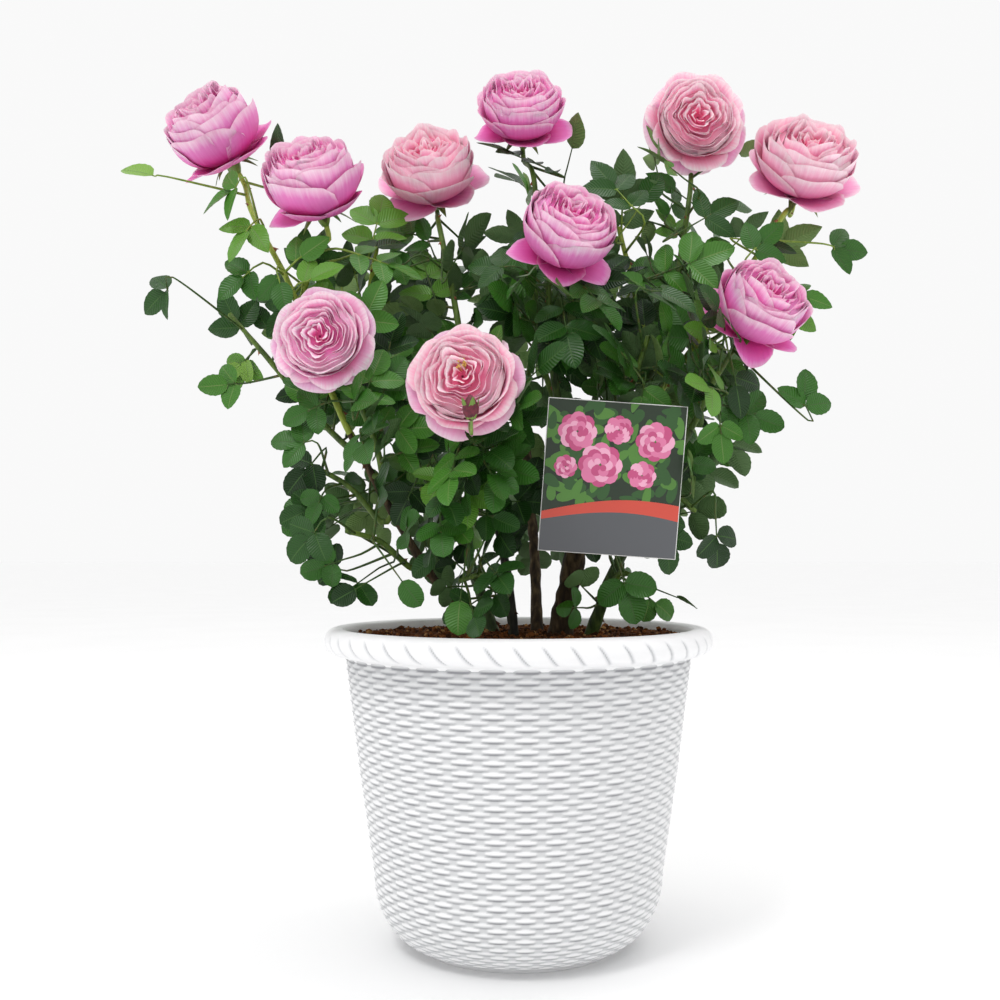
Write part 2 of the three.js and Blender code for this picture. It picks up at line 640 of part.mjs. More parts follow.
// One closed solid: a three-sided stalk, the pair of wedge-shaped leaflets at its end, and the neck that
// carries the end leaflet
function leafSolid(leaf, rootRadius) {
  const { line, direction, face, size, blades } = leaf;
  const across = cross(direction, face);
  const junction = line[line.length - 1];
  const neck = along(junction, direction, LEAF.neck * size);
  const vertices = [];
  const triangles = [];
  for (let k = 0; k < line.length - 1; k++) {
    const heading = unit(sub(line[k + 1], line[k]));
    const lift = squareTo(face, heading);
    const side = cross(heading, lift);
    const r = k === 0 ? rootRadius : TWIG.radius;
    const low = along(line[k], lift, -r / 2);
    vertices.push(along(low, side, -r), along(low, side, r), along(line[k], lift, r));
    const [l, right, t] = [3 * k, 3 * k + 1, 3 * k + 2];
    triangles.push([l, l + 3, right + 3], [l, right + 3, right], [right, right + 3, t + 3]);
    triangles.push([right, t + 3, t], [t, t + 3, l + 3], [t, l + 3, l]);
  }
  triangles.push([0, 1, 2]);
  const beside = (middle, x, y) =>
    along(along(middle, across, x * LEAF.shoulder), direction, y * LEAF.shoulder);
  const named = (point) => vertices.push(point) - 1;
  const half = LEAF.thickness / 2;
  const [right, end, left] = blades;
  const lowLeft = named(beside(junction, -0.6, -1));
  const lowRight = named(beside(junction, 0.6, -1));
  const top = named(along(junction, face, half));
  const under = named(along(junction, face, -half));
  const neckTop = named(along(neck, face, half));
  const neckUnder = named(along(neck, face, -half));
  const [neckRight, neckLeft] = [named(beside(neck, 0.5, 0)), named(beside(neck, -0.5, 0))];
  const rightSide = [lowRight, named(right.right), named(right.tip), named(right.left)];
  rightSide.push(named(beside(junction, 0.9, 1)), neckRight);
  const endSide = [neckRight, named(end.right), named(end.tip), named(end.left), neckLeft];
  const leftSide = [neckLeft, named(beside(junction, -0.9, 1))];
  leftSide.push(named(left.right), named(left.tip), named(left.left), lowLeft);
  const fan = (upper, lower, rim) => {
    for (let i = 0; i < rim.length - 1; i++) {
      triangles.push([upper, rim[i], rim[i + 1]], [lower, rim[i + 1], rim[i]]);
    }
  };
  fan(top, under, rightSide);
  fan(neckTop, neckUnder, endSide);
  fan(top, under, leftSide);
  triangles.push([top, neckRight, neckTop], [top, neckTop, neckLeft]);
  triangles.push([under, neckUnder, neckRight], [under, neckLeft, neckUnder], [lowLeft, under, lowRight]);
  return solidFrom(vertices, triangles);
}

// Growth: twigs leave each stem by the golden angle, and carry a leaf at the tip and one on the way
function growShoot(index, shoots) {
  const shoot = shoots[index];
  const random = randomStream(SEED * (index + 1) + shoot.seed);
  const spread = () => random() * 2 - 1;
  const randomVector = () => [spread(), spread(), spread()];
  const own = (p, slack) => {
    const near = Math.min(...shoot.stems.map((s) => distanceToLine(p, s.line)));
    if (near > shoot.reach) return false;
    return shoots.every(
      (other) => other === shoot || other.stems.every((s) => distanceToLine(p, s.line) > near - slack),
    );
  };
  const fits = (one, allowed) =>
    placed.every((other) => allowed.includes(other) || apart(one, other, LEAF_GAP));
  const leaves = [];

  // Leaves turn their faces outwards and a little up: most to the front or the back, some to the side
  function facing(p) {
    const across = (p[0] - CROWN.centre[0]) / CROWN.halfWidth;
    const depth = (p[1] - CROWN.centre[1]) / CROWN.halfDepth + 0.6 * spread();
    const sideways = random() < SIDEWAYS_SHARE;
    const towards = depth < 0.25 ? -1 : 1;
    const level = sideways ? [across < 0 ? -0.9 : 0.9, 0.3 * towards] : [0.5 * across, 0.85 * towards];
    return unit(add([...level, 0.32], scale(randomVector(), 0.5)));
  }

  // Places a leaf if it meets nothing but its carrier and keeps to the shoot's space
  function place(leaf, carrier, rootRadius) {
    const rods = leaf.line.slice(1).map((p, i) => rod(leaf.line[i], p, TWIG.radius));
    const blades = leaf.blades.map(bladePiece);
    const points = leaf.blades.flatMap((b) => [b.tip, b.left, b.right]);
    if (!own(leaf.blades[0].root, OWN_SPACE_SLACK.junction)) return null;
    if (!points.every((p) => clearOfPot(p) && own(p, OWN_SPACE_SLACK.leaflet))) return null;
    if (!rods.every((r) => fits(r, carrier)) || !blades.every((b) => fits(b, []))) return null;
    placed.push(...rods, ...blades);
    leaves.push({ ...leaf, rootRadius });
    return rods;
  }

  function tryLeaf(line, heading, carrier, rootRadius) {
    const root = line[line.length - 1];
    for (let attempt = 0; attempt < 12; attempt++) {
      const face = facing(root);
      const wish = add(add(heading, scale(randomVector(), 0.35 + 0.09 * attempt)), [0, 0, -0.1]);
      const direction = squareTo(wish, face);
      const size = 0.84 + 0.28 * random();
      if (dot(direction, heading) < 0.1) continue;
      const rods = place(leafParts(line, direction, face, size), carrier, rootRadius);
      if (rods) return rods;
    }
    return null;
  }

  // A leaf whose tip lies at a given place of the crown's outline, on a twig from the nearest stem
  function reachTip(target) {
    const stem = shoot.stems.reduce((a, b) =>
      distanceToLine(target, b.line) < distanceToLine(target, a.line) ? b : a);
    let best = 0;
    for (let k = 1; k < 20; k++) {
      const near = length(sub(pointOn(stem.line, k / 20).at, target));
      if (near < length(sub(pointOn(stem.line, best).at, target))) best = k / 20;
    }
    for (let attempt = 0; attempt < 40; attempt++) {
      const share = Math.min(0.96, Math.max(0.04, best - 0.12 * random()));
      const { at } = pointOn(stem.line, share);
      const face = facing(target);
      const size = 0.9 + 0.2 * random();
      const heading = squareTo(add(unit(sub(target, at)), scale(randomVector(), 0.02 * attempt)), face);
      const span = (LEAF.stalk + END_LEAFLET.length) * size;
      const tip = sub(target, scale(heading, span));
      const bare = length(sub(tip, at)) < 12;
      const line = bare ? [at] : [at, tip];
      const rootRadius = bare ? LEAF.stalkRadius : TWIG.rootRadius;
      if (place(leafParts(line, heading, face, size), stem.pieces, rootRadius)) return;
    }
  }

  shoot.tips.forEach(reachTip);
  const whole = shoot.stems.reduce((sum, s) => sum + pointOn(s.line, 0).total, 0);
  for (const stem of shoot.stems) {
    const wanted = Math.round((shoot.leaves * pointOn(stem.line, 0).total) / whole);
    const slots = Math.ceil(wanted * 0.8);
    const [lowest, highest] = [0.1, 0.96];
    let grown = 0;
    for (let i = 0; i < slots && grown < wanted; i++) {
      const { at, direction } = pointOn(stem.line, lowest + ((highest - lowest) * (i + 0.5)) / slots);
      const side = anySide(direction);
      const other = cross(direction, side);
      for (let attempt = 0; attempt < 14; attempt++) {
        const angle = GOLDEN_ANGLE * i + attempt * 0.8 + 0.5 * spread();
        const radial = along(scale(side, Math.cos(angle)), other, Math.sin(angle));
        const out = unit(sub(at, CROWN.centre));
        const heading = unit(add(add(radial, scale(direction, 0.35)), scale(out, 0.3)));
        const reach = shoot.reach * (0.2 + 0.32 * random());
        const tip = along(along(at, heading, reach), [0, 0, 1], -0.06 * reach);
        if (!clearOfPot(tip) || !own(tip, 0)) continue;
        const rods = tryLeaf([at, tip], heading, stem.pieces, TWIG.rootRadius);
        if (!rods) continue;
        grown++;
        const twig = rods[0];
        const middle = mix(at, tip, 0.5 + 0.25 * random());
        const aside = unit(add(cross(heading, direction), scale(heading, 0.5)));
        const heads = [aside, unit(sub(heading, aside))];
        for (const head of random() < 0.5 ? heads : heads.reverse()) {
          if (grown < wanted && tryLeaf([middle], head, [twig], LEAF.stalkRadius)) {
            grown++;
            break;
          }
        }
        break;
      }
    }
    if (!shoot.bloom && stem === shoot.stems[0]) {
      const end = pointOn(stem.line, 1);
      const line = [along(end.at, end.direction, -LEAF.rootSunk)];
      tryLeaf(line, end.direction, stem.pieces, LEAF.stalkRadius);
    }
  }
  return leaves;
}

function shootSolid(shoot, leaves) {
  const radiusAt = (stem) => (t) => stem.radius + (STEM.tipRadius - stem.radius) * t;
  const stems = shoot.stems.map((stem) => taperedTube(stem.line, radiusAt(stem), 3, stem.first));
  return largestBody(joined([...stems, ...leaves.map((leaf) => leafSolid(leaf, leaf.rootRadius))]));
}

// Bud on its stalk, clear of the stem that it leaves
function makeBud(shoot) {
  const { at } = pointOn(shoot.stems[0].line, BUD.share);
  const stemRadius = STEM.radius + (STEM.tipRadius - STEM.radius) * BUD.share;
  const start = along(at, unit(sub(BUD.way[0], at)), stemRadius + GAP);
  const stalk = smoothLine([start, ...BUD.way], BUD.step);
  const foot = stalk[stalk.length - 1];
  const head = BUD.rings.map(([rise]) => along(foot, unit(BUD.axis), rise));
  const radii = [...stalk.map(() => BUD.stalkRadius), ...BUD.rings.map(([, radius]) => radius)];
  const line = [...stalk, ...head];
  return taperedTube(line, (t) => radii[Math.round(t * (line.length - 1))], BUD.sides);
}

// Label card with its strap looped round the main cane
function makeCard() {
  const front = cardCorners(0);
  const normal = unit(cross(sub(front[3], front[0]), sub(front[1], front[0])));
  const back = front.map((p) => along(p, normal, CARD.thickness));
  const plate = loft([back, front]);
  const { at: cane, direction } = pointOn(limbLines.cane_main, strapShare());
  const points = 16;
  const inside = (limbRadius("cane_main", strapShare()) + 1.6 * GAP) / Math.cos(Math.PI / points);
  const outside = inside + CARD.strapThickness;
  const ring = new THREE.Shape();
  ring.absarc(0, 0, outside, 0, 2 * Math.PI, false);
  const hole = new THREE.Path();
  hole.absarc(0, 0, inside, 0, 2 * Math.PI, true);
  ring.holes.push(hole);
  const depth = CARD.strapHeight;
  const loop = new THREE.ExtrudeGeometry(ring, { depth, bevelEnabled: false, curveSegments: points / 2 });
  loop.translate(0, 0, -depth / 2);
  const upward = new THREE.Quaternion();
  upward.setFromUnitVectors(new THREE.Vector3(0, 0, 1), new THREE.Vector3(...direction));
  loop.applyQuaternion(upward);
  loop.translate(...cane);
  const far = cane[1] - outside + CARD.strapThickness / 2;
  const near = cardDepthAt(cane[0], CARD.strapZ) + CARD.thickness / 2;
  const tongue = new THREE.BoxGeometry(CARD.strapThickness, far - near, depth - 2);
  tongue.translate(cane[0], (far + near) / 2, CARD.strapZ);
  return plate.add(solidFromGeometry(tongue)).add(solidFromGeometry(loop));
}

// Assembly
function geometryOf(solid) {
  const mesh = solid.getMesh();
  const geometry = new THREE.BufferGeometry();
  geometry.setAttribute("position", new THREE.BufferAttribute(mesh.vertProperties, 3));
  geometry.setIndex(new THREE.BufferAttribute(mesh.triVerts, 1));
  geometry.computeVertexNormals();
  return geometry;
}

const bush = new THREE.Group();

function addPart(name, solid, colour, roughness = 0.8) {
  const material = new THREE.MeshStandardMaterial({ color: COLOURS[colour], roughness, metalness: 0 });
  const mesh = new THREE.Mesh(geometryOf(solid), material);
  mesh.name = name;
  bush.add(mesh);
}

placeFixedPieces();
const shoots = SHOOTS.map((shoot) => ({ seed: 0, ...shoot, stems: shootStems(shoot) }));
for (const shoot of shoots) {
  for (const stem of shoot.stems) {
    stem.pieces = stem.line.slice(1).map((p, i) => rod(stem.line[i], p, stem.radius));
  }
  const own = shoot.stems.flatMap((stem) => stem.pieces);
  for (const stem of shoot.stems) stem.pieces = own;
  placed.push(...own);
}

addPart("pot", makePot(), "pot", 0.45);
addPart("soil", makeSoil(), "soil", 0.95);
for (const [name, limb] of Object.entries(LIMBS)) addPart(name, makeLimb(name), limb.colour);
shoots.forEach((shoot, index) => {
  const leaves = growShoot(index, shoots);
  addPart(shoot.name, shootSolid(shoot, leaves), shoot.bloom ? "foliage" : "freshFoliage", 0.6);
});
for (const [name, bloom] of Object.entries(BLOOMS)) addPart(name, makeBloom(bloom), bloom.tone, 0.7);
addPart("bud_front", makeBud(shoots.find((shoot) => shoot.name === "shoot_front")), "deep", 0.7);
addPart("label_card", makeCard(), "card", 0.5);

export default bush;
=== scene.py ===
import math

import bpy
import numpy as np
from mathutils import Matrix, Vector


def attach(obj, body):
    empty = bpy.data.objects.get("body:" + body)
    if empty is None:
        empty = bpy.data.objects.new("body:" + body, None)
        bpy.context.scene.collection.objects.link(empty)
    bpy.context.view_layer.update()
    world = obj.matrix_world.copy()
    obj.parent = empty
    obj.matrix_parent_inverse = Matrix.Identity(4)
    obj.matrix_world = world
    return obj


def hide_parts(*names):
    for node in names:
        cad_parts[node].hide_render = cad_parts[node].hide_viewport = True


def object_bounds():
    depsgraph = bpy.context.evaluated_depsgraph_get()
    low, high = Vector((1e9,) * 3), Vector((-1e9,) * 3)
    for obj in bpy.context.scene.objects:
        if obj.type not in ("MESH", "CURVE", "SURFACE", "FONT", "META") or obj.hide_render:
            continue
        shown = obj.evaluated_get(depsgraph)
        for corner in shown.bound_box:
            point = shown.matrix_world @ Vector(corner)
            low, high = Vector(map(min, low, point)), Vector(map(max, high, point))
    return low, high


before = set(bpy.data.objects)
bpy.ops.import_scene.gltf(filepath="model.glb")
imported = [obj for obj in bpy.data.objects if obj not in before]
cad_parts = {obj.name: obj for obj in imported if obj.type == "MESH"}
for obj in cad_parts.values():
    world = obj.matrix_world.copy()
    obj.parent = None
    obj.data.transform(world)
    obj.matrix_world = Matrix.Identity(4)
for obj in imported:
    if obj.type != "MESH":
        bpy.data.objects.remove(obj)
solid_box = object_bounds()

# The looks of a double-flowered rose bush in its woven pot. Its stems, twigs and leaves are grown again by the
# rule of the solids, which is then carried on to finer twigs and leaves. Sizes are millimetres in the frame of
# the solids, and become metres when a mesh is made. The side in the photograph faces -Y, and +X is to its right.
MM = 0.001
GOLDEN_ANGLE = 2.39996
TURN = 2 * math.pi
# What an angle is drawn from where any will do
ANY_ANGLE = (0, 6.3)
SHARPEST_SMOOTH = math.radians(75)

# The photograph's camera: metres from the pot's middle and above the floor, then pixels of the image
CAMERA_DISTANCE = 1.0
CAMERA_HEIGHT = 0.317
IMAGE_SIDE = 1000
FOCAL_PIXELS = 1219.5
AXIS_PIXEL = 518.5
HORIZON_PIXEL = 553

POT = {
    "rim_radius": 158, "rim_inner": 139.5, "height": 257, "wall_top": 231, "wall_top_radius": 140.5, "bulge": 1,
    "curve_radius": 118, "curve_top": 60, "curve_width": 42, "curve_height": 58, "foot_radius": 82,
    "foot_height": 3, "recess": 2.5, "recess_radius": 72, "pad_radius": 26, "wall": 3, "floor": 5.5,
}
SOIL_TOP = 250
STAKES = 70
STRANDS = 58
WEAVE_DEPTH = 1.45
ROPE_TURNS = 48

# The rule of the solids: the forms of leaves and stems, the room they keep, and how twigs and leaves are drawn
LEAF = {"stalk": 20, "pair_turn": 0.3, "droop": 0.08, "root_sunk": 2, "thickness": 1.6}
# Length, width and where along it a leaflet is widest
END_LEAFLET = (54, 30, 0.6)
PAIR_LEAFLET = (37, 25, 0.48)
TWIG_RADIUS = 1.3
STEM = {"radius": 3, "tip_radius": 2.2, "step": 26, "fork_thinner": 0.4, "straight": 9, "neck": 22}
LIMB_STEP = 24
FORKED_LIMB_STEP = 26
GAP = 0.3
LEAF_GAP = 0.5
SLACK = {"junction": 12, "leaflet": 34}
SIDEWAYS_SHARE = 0.28
SEED = 7919
LEAF_SIZES = (0.84, 0.28)
TRIES = {"leaf": 12, "tip": 40, "twig": 14}
CROWN = {"half_width": 280, "half_depth": 170, "centre": (10, 0, 300)}

# The finer twigs and leaves, which only the scene has
FINE_SEED = 104729
FINE_LEAF_SIZES = (0.6, 0.26)
FINE_LEAF_GAP = 0.25
FINE_LEAVES = 2
PROUD = 0.004
CORE = {"centre": (20, 480), "half_width": 195, "half_height": 145}
FAR_OUT = 165
# Where white shows between the leaves from the front: across, up and how far the gap reaches, in the plane of
# the pot's middle
GAPS_IN_CROWN = [
    (-246, 494, 30), (-214, 440, 22), (-200, 385, 38), (-160, 392, 32), (-118, 299, 32), (-118, 262, 30),
    (-77, 258, 26), (-36, 590, 30), (5, 299, 24), (128, 299, 28), (169, 299, 28), (172, 342, 26),
    (169, 384, 24), (212, 463, 36), (212, 422, 30), (169, 545, 22), (169, 627, 26), (-118, 598, 24),
]
LOWEST_OUTSIDE_POT = 272
CLEAR_VIEW = 130
CARD = {
    "width": 105, "height": 116, "thickness": 1, "at": (71, -78, 373), "turn": 4, "lean": 6,
    "strap_height": 9, "strap_z": 340,
}

# Canes rise from the soil, and boughs fork from the main cane: the points they pass, their radii at foot and tip
# and the flare of the foot
LIMBS = {
    "cane_main": {"points": [(35, 20, 0), (41, 14, 285), (47, 5, 318), (49, -3, 352), (48, -5, 378)],
                  "foot": 9.5, "tip": 8, "flare": 3.5, "bark": "woody"},
    "cane_slant": {"points": [(60, 6, 0), (67, -2, 272), (76, -10, 299), (105, -30, 359), (135, -40, 414)],
                   "foot": 5, "tip": 3.2, "flare": 1.2, "bark": "green"},
    "cane_straight": {"points": [(-4, -2, 0), (-8, -4, 290), (-18, -10, 348), (-31, -30, 407), (-43, -28, 452)],
                      "foot": 4, "tip": 2.8, "flare": 0.8, "bark": "dark"},
    "cane_left": {"points": [(-36, -12, 0), (-50, -18, 272), (-75, -25, 307), (-105, -40, 359), (-131, -50, 410)],
                  "foot": 3.6, "tip": 2.6, "flare": 0.8, "bark": "woody"},
    "cane_rear_left": {"points": [(-22, 42, 0), (-42, 52, 310), (-76, 60, 400), (-112, 66, 470)],
                       "foot": 5, "tip": 3.2, "flare": 1.2, "bark": "green"},
    "cane_rear": {"points": [(16, 58, 0), (14, 82, 320), (8, 108, 400), (8, 124, 466)],
                  "foot": 5, "tip": 3.2, "flare": 1.2, "bark": "woody"},
    "bough_centre": {"fork": "cane_main", "start": (-3.6, -3.2), "points": [(34, -20, 425), (26, -32, 474)],
                     "foot": 3.6, "tip": 3, "flare": 0, "bark": "green"},
    "bough_right": {"fork": "cane_main", "start": (4.2, -1.8), "points": [(84, 6, 425), (118, 4, 480)],
                    "foot": 3.6, "tip": 3, "flare": 0, "bark": "green"},
    "bough_rear": {"fork": "cane_main", "start": (-0.4, 4.6), "points": [(62, 52, 430), (76, 96, 496)],
                   "foot": 3.4, "tip": 2.8, "flare": 0, "bark": "green"},
}

# Flower heads: middle, the way the head faces, diameter, how far it has opened and its colours
BLOOM_ROWS = {
    "bloom_far_left": ((-249, -10, 664), (-0.45, -0.3, 0.84), 82, 0.1, "deep"),
    "bloom_upper_left": ((-159, -60, 610), (-0.2, -0.35, 0.92), 80, 0.1, "deep"),
    "bloom_mid_left": ((-75, 15, 644), (-0.12, -0.62, 0.78), 86, 0.45, "pale"),
    "bloom_top": ((2, 0, 688), (-0.05, -0.6, 0.8), 76, 0.4, "deep"),
    "bloom_upper_right": ((150, 20, 688), (0.04, -0.95, 0.3), 80, 1, "pale"),
    "bloom_far_right": ((237, 0, 646), (0.12, -0.62, 0.78), 90, 0.45, "pale"),
    "bloom_centre": ((40, -80, 567), (0.32, -0.55, 0.77), 78, 0.2, "deep"),
    "bloom_lower_right": ((191, -55, 515), (0.4, -0.55, 0.73), 78, 0.2, "deep"),
    "bloom_lower_left": ((-146, -105, 482), (-0.08, -0.95, 0.3), 72, 1, "rose"),
    "bloom_front": ((-39, -150, 446), (-0.14, -0.9, 0.4), 76, 0.9, "pale"),
    "bloom_rear_left": ((-184, 142, 529), (-0.4, 0.65, 0.64), 76, 0.5, "pale"),
    "bloom_rear_centre": ((50, 172, 628), (0.05, 0.72, 0.69), 78, 0.8, "rose"),
    "bloom_rear_right": ((220, 98, 546), (0.6, 0.6, 0.53), 74, 0.3, "deep"),
}
BLOOMS = {name: dict(zip(("at", "face", "size", "open", "tone"), row)) for name, row in BLOOM_ROWS.items()}

# Leafy shoots: the limb and the place along it that each stem leaves, the points it passes, the flower at its
# end, how far its leaves may lie from its stem, how many leaves the solid has, a seed where the draw differs from
# the usual one, and the furthest leaf tips of the crown that it reaches
SHOOTS = [
    {"name": "shoot_left_top", "limb": "cane_left", "at": 1,
     "path": [(-158, -42, 470), (-182, -30, 530), (-212, -25, 587)], "bloom": "bloom_far_left",
     "fork": {"at": 0.42, "path": [(-156, -50, 556)], "bloom": "bloom_upper_left"}, "reach": 95, "leaves": 6,
     "tips": [(-317, -10, 623), (-204, 0, 690), (-250, -20, 584), (-130, -40, 562)]},
    {"name": "shoot_left_bloom", "limb": "cane_left", "at": 0.8, "path": [(-112, -66, 408), (-128, -76, 446)],
     "bloom": "bloom_lower_left", "reach": 85, "leaves": 5, "seed": 5, "tips": [(-101, -80, 474)]},
    {"name": "shoot_left_side", "limb": "cane_left", "at": 0.93,
     "path": [(-168, -14, 432), (-206, -8, 478), (-236, -4, 512)], "reach": 70, "leaves": 4, "seed": 2,
     "tips": [(-300, 0, 506), (-256, -16, 548), (-223, -5, 439)]},
    {"name": "shoot_left_middle", "limb": "cane_left", "at": 0.62, "path": [(-132, -40, 368), (-158, -46, 384)],
     "reach": 75, "leaves": 5, "seed": 9, "tips": [(-198, -50, 345), (-200, -40, 404)]},
    {"name": "shoot_left_low", "limb": "cane_left", "at": 0.4, "path": [(-108, -48, 326), (-132, -66, 334)],
     "reach": 75, "leaves": 5, "seed": 20, "tips": [(-189, -60, 296), (-140, -80, 284)]},
    {"name": "shoot_mid_left", "limb": "cane_straight", "at": 1, "path": [(-50, -12, 510), (-66, 6, 590)],
     "bloom": "bloom_mid_left", "reach": 75, "leaves": 7, "tips": [(-30, 0, 596)]},
    {"name": "shoot_front", "limb": "cane_straight", "at": 0.72, "path": [(-34, -72, 400), (-36, -104, 412)],
     "bloom": "bloom_front", "reach": 80, "leaves": 7, "seed": 3, "tips": []},
    {"name": "shoot_foot", "limb": "cane_straight", "at": 0.16, "path": [(-26, -42, 300), (-44, -76, 296)],
     "reach": 66, "leaves": 5, "seed": 19, "tips": [(-47, -104, 259), (-84, -80, 304)]},
    {"name": "shoot_front_low", "limb": "cane_straight", "at": 0.5, "path": [(-46, -42, 352), (-74, -74, 366)],
     "reach": 75, "leaves": 7, "seed": 3, "tips": []},
    {"name": "shoot_centre", "limb": "bough_centre", "at": 1, "path": [(24, -50, 505)],
     "bloom": "bloom_centre", "reach": 75, "leaves": 7, "seed": 3, "tips": [(66, -60, 536)]},
    {"name": "shoot_top", "limb": "bough_centre", "at": 0.62, "path": [(14, 6, 500), (16, 12, 580), (12, 8, 630)],
     "bloom": "bloom_top", "reach": 75, "leaves": 6, "seed": 1, "tips": [(56, 10, 682), (-32, 0, 660)]},
    {"name": "shoot_top_right", "limb": "bough_right", "at": 0.8, "path": [(100, 24, 520), (84, 22, 590)],
     "reach": 75, "leaves": 4, "seed": 3, "tips": [(88, 16, 657), (58, -10, 640), (122, 8, 634)]},
    {"name": "shoot_upper_right", "limb": "bough_right", "at": 1, "path": [(134, 15, 557), (146, 34, 630)],
     "bloom": "bloom_upper_right", "reach": 85, "leaves": 6, "seed": 3,
     "tips": [(186, 10, 612), (112, 30, 640), (176, -14, 566)]},
    {"name": "shoot_far_right", "limb": "bough_right", "at": 0.6,
     "path": [(142, -2, 484), (190, 8, 552), (220, 6, 598)], "bloom": "bloom_far_right", "reach": 104,
     "leaves": 6, "seed": 6, "tips": [(264, 10, 598), (250, -10, 560), (277, 0, 516)]},
    {"name": "shoot_right", "limb": "cane_slant", "at": 1, "path": [(152, -46, 450)],
     "bloom": "bloom_lower_right", "reach": 85, "leaves": 6, "seed": 6, "tips": [(210, -40, 416), (222, -24, 470)]},
    {"name": "shoot_right_low", "limb": "cane_slant", "at": 0.6, "path": [(124, -32, 362), (140, -34, 350)],
     "reach": 75, "leaves": 5, "seed": 6, "tips": [(161, -35, 303), (168, -30, 356), (120, -50, 300)]},
    {"name": "shoot_foot_right", "limb": "cane_slant", "at": 0.2, "path": [(80, -30, 300), (88, -44, 300)],
     "reach": 62, "leaves": 3, "seed": 18, "tips": [(92, -56, 262)]},
    {"name": "shoot_upper_left", "limb": "cane_rear_left", "at": 0.86, "path": [(-128, 34, 500), (-118, 22, 580)],
     "reach": 80, "leaves": 6, "seed": 2, "tips": [(-112, 20, 622), (-146, 0, 574)]},
    {"name": "shoot_rear_left", "limb": "cane_rear_left", "at": 1, "path": [(-140, 96, 494)],
     "bloom": "bloom_rear_left", "reach": 90, "leaves": 7, "seed": 4, "tips": [(-222, 100, 470), (-110, 150, 560)]},
    {"name": "shoot_rear_left_low", "limb": "cane_rear_left", "at": 0.5, "path": [(-92, 96, 370), (-124, 112, 392)],
     "reach": 85, "leaves": 5, "seed": 4, "tips": [(-180, 96, 350), (-110, 176, 370)]},
    {"name": "shoot_rear_centre", "limb": "cane_rear", "at": 1, "path": [(20, 136, 530)],
     "bloom": "bloom_rear_centre", "reach": 95, "leaves": 7, "seed": 1, "tips": [(-30, 150, 620), (120, 150, 590)]},
    {"name": "shoot_rear_low", "limb": "cane_rear", "at": 0.5, "path": [(30, 132, 352), (44, 154, 376)],
     "reach": 80, "leaves": 6, "seed": 1, "tips": [(40, 206, 350)]},
    {"name": "shoot_rear_right", "limb": "bough_rear", "at": 1, "path": [(112, 112, 508), (166, 100, 506)],
     "bloom": "bloom_rear_right", "reach": 90, "leaves": 6, "tips": [(250, 90, 480), (150, 130, 580)]},
    {"name": "shoot_right_back_low", "limb": "bough_rear", "at": 0.45, "path": [(104, 70, 404), (138, 80, 404)],
     "reach": 85, "leaves": 6, "seed": 6, "tips": [(200, 84, 380)]},
    {"name": "shoot_core_right", "limb": "bough_right", "at": 0.4, "path": [(88, -40, 444), (100, -60, 484)],
     "reach": 75, "leaves": 6, "seed": 9, "tips": [(132, -70, 520)]},
]


# Vectors
def add(a, b):
    return (a[0] + b[0], a[1] + b[1], a[2] + b[2])


def sub(a, b):
    return (a[0] - b[0], a[1] - b[1], a[2] - b[2])


def scale(a, s):
    return (a[0] * s, a[1] * s, a[2] * s)


def dot(a, b):
    return a[0] * b[0] + a[1] * b[1] + a[2] * b[2]


def cross(a, b):
    return (a[1] * b[2] - a[2] * b[1], a[2] * b[0] - a[0] * b[2], a[0] * b[1] - a[1] * b[0])


def length(a):
    return math.sqrt(dot(a, a))


def unit(a):
    return scale(a, 1 / length(a))


def along(a, d, s):
    return add(a, scale(d, s))


def mix(a, b, t):
    return add(scale(a, 1 - t), scale(b, t))


def square_to(a, n):
    return unit(sub(a, scale(n, dot(a, n))))


def any_side(d):
    return square_to((0, 0, 1) if abs(d[2]) < 0.9 else (1, 0, 0), d)


def rounded_half_up(x):
    return math.floor(x + 0.5)


def random_stream(seed):
    """The seeded stream of numbers from 0 to 1 that the solids grow by."""
    state = seed & 0xFFFFFFFF

    def draw():
        nonlocal state
        state = (state * 1664525 + 1013904223) & 0xFFFFFFFF
        return state / 4294967296

    return draw


def smooth_line(points, step):
    """A smooth line through the points, with a point about every step."""
    last = len(points) - 1
    before = sub(scale(points[0], 2), points[1])
    after = sub(scale(points[last], 2), points[last - 1])
    whole = [before, *points, after]
    line = [points[0]]
    for i in range(last):
        a, b, c, d = whole[i:i + 4]
        count = max(1, rounded_half_up(length(sub(c, b)) / step))
        for k in range(1, count + 1):
            t = k / count
            bend = scale(add(sub(scale(a, 2), scale(b, 5)), sub(scale(c, 4), d)), t * t)
            turn = scale(add(sub(scale(b, 3), a), sub(d, scale(c, 3))), t * t * t)
            total = add(add(scale(b, 2), scale(sub(c, a), t)), add(bend, turn))
            line.append(scale(total, 0.5))
    return line


def point_on(line, share):
    """The place and direction at a share of a line's length, and that length."""
    steps = [length(sub(line[i + 1], line[i])) for i in range(len(line) - 1)]
    total = sum(steps)
    left = share * total
    i = 0
    while i < len(steps) - 1 and left > steps[i]:
        left -= steps[i]
        i += 1
    at = mix(line[i], line[i + 1], min(1, left / steps[i]))
    return at, unit(sub(line[i + 1], line[i])), total


# Limbs and stems, along the lines of the solids
FORK_RISE = (0.6, 10)
HEAD_MIDDLE = 0.36

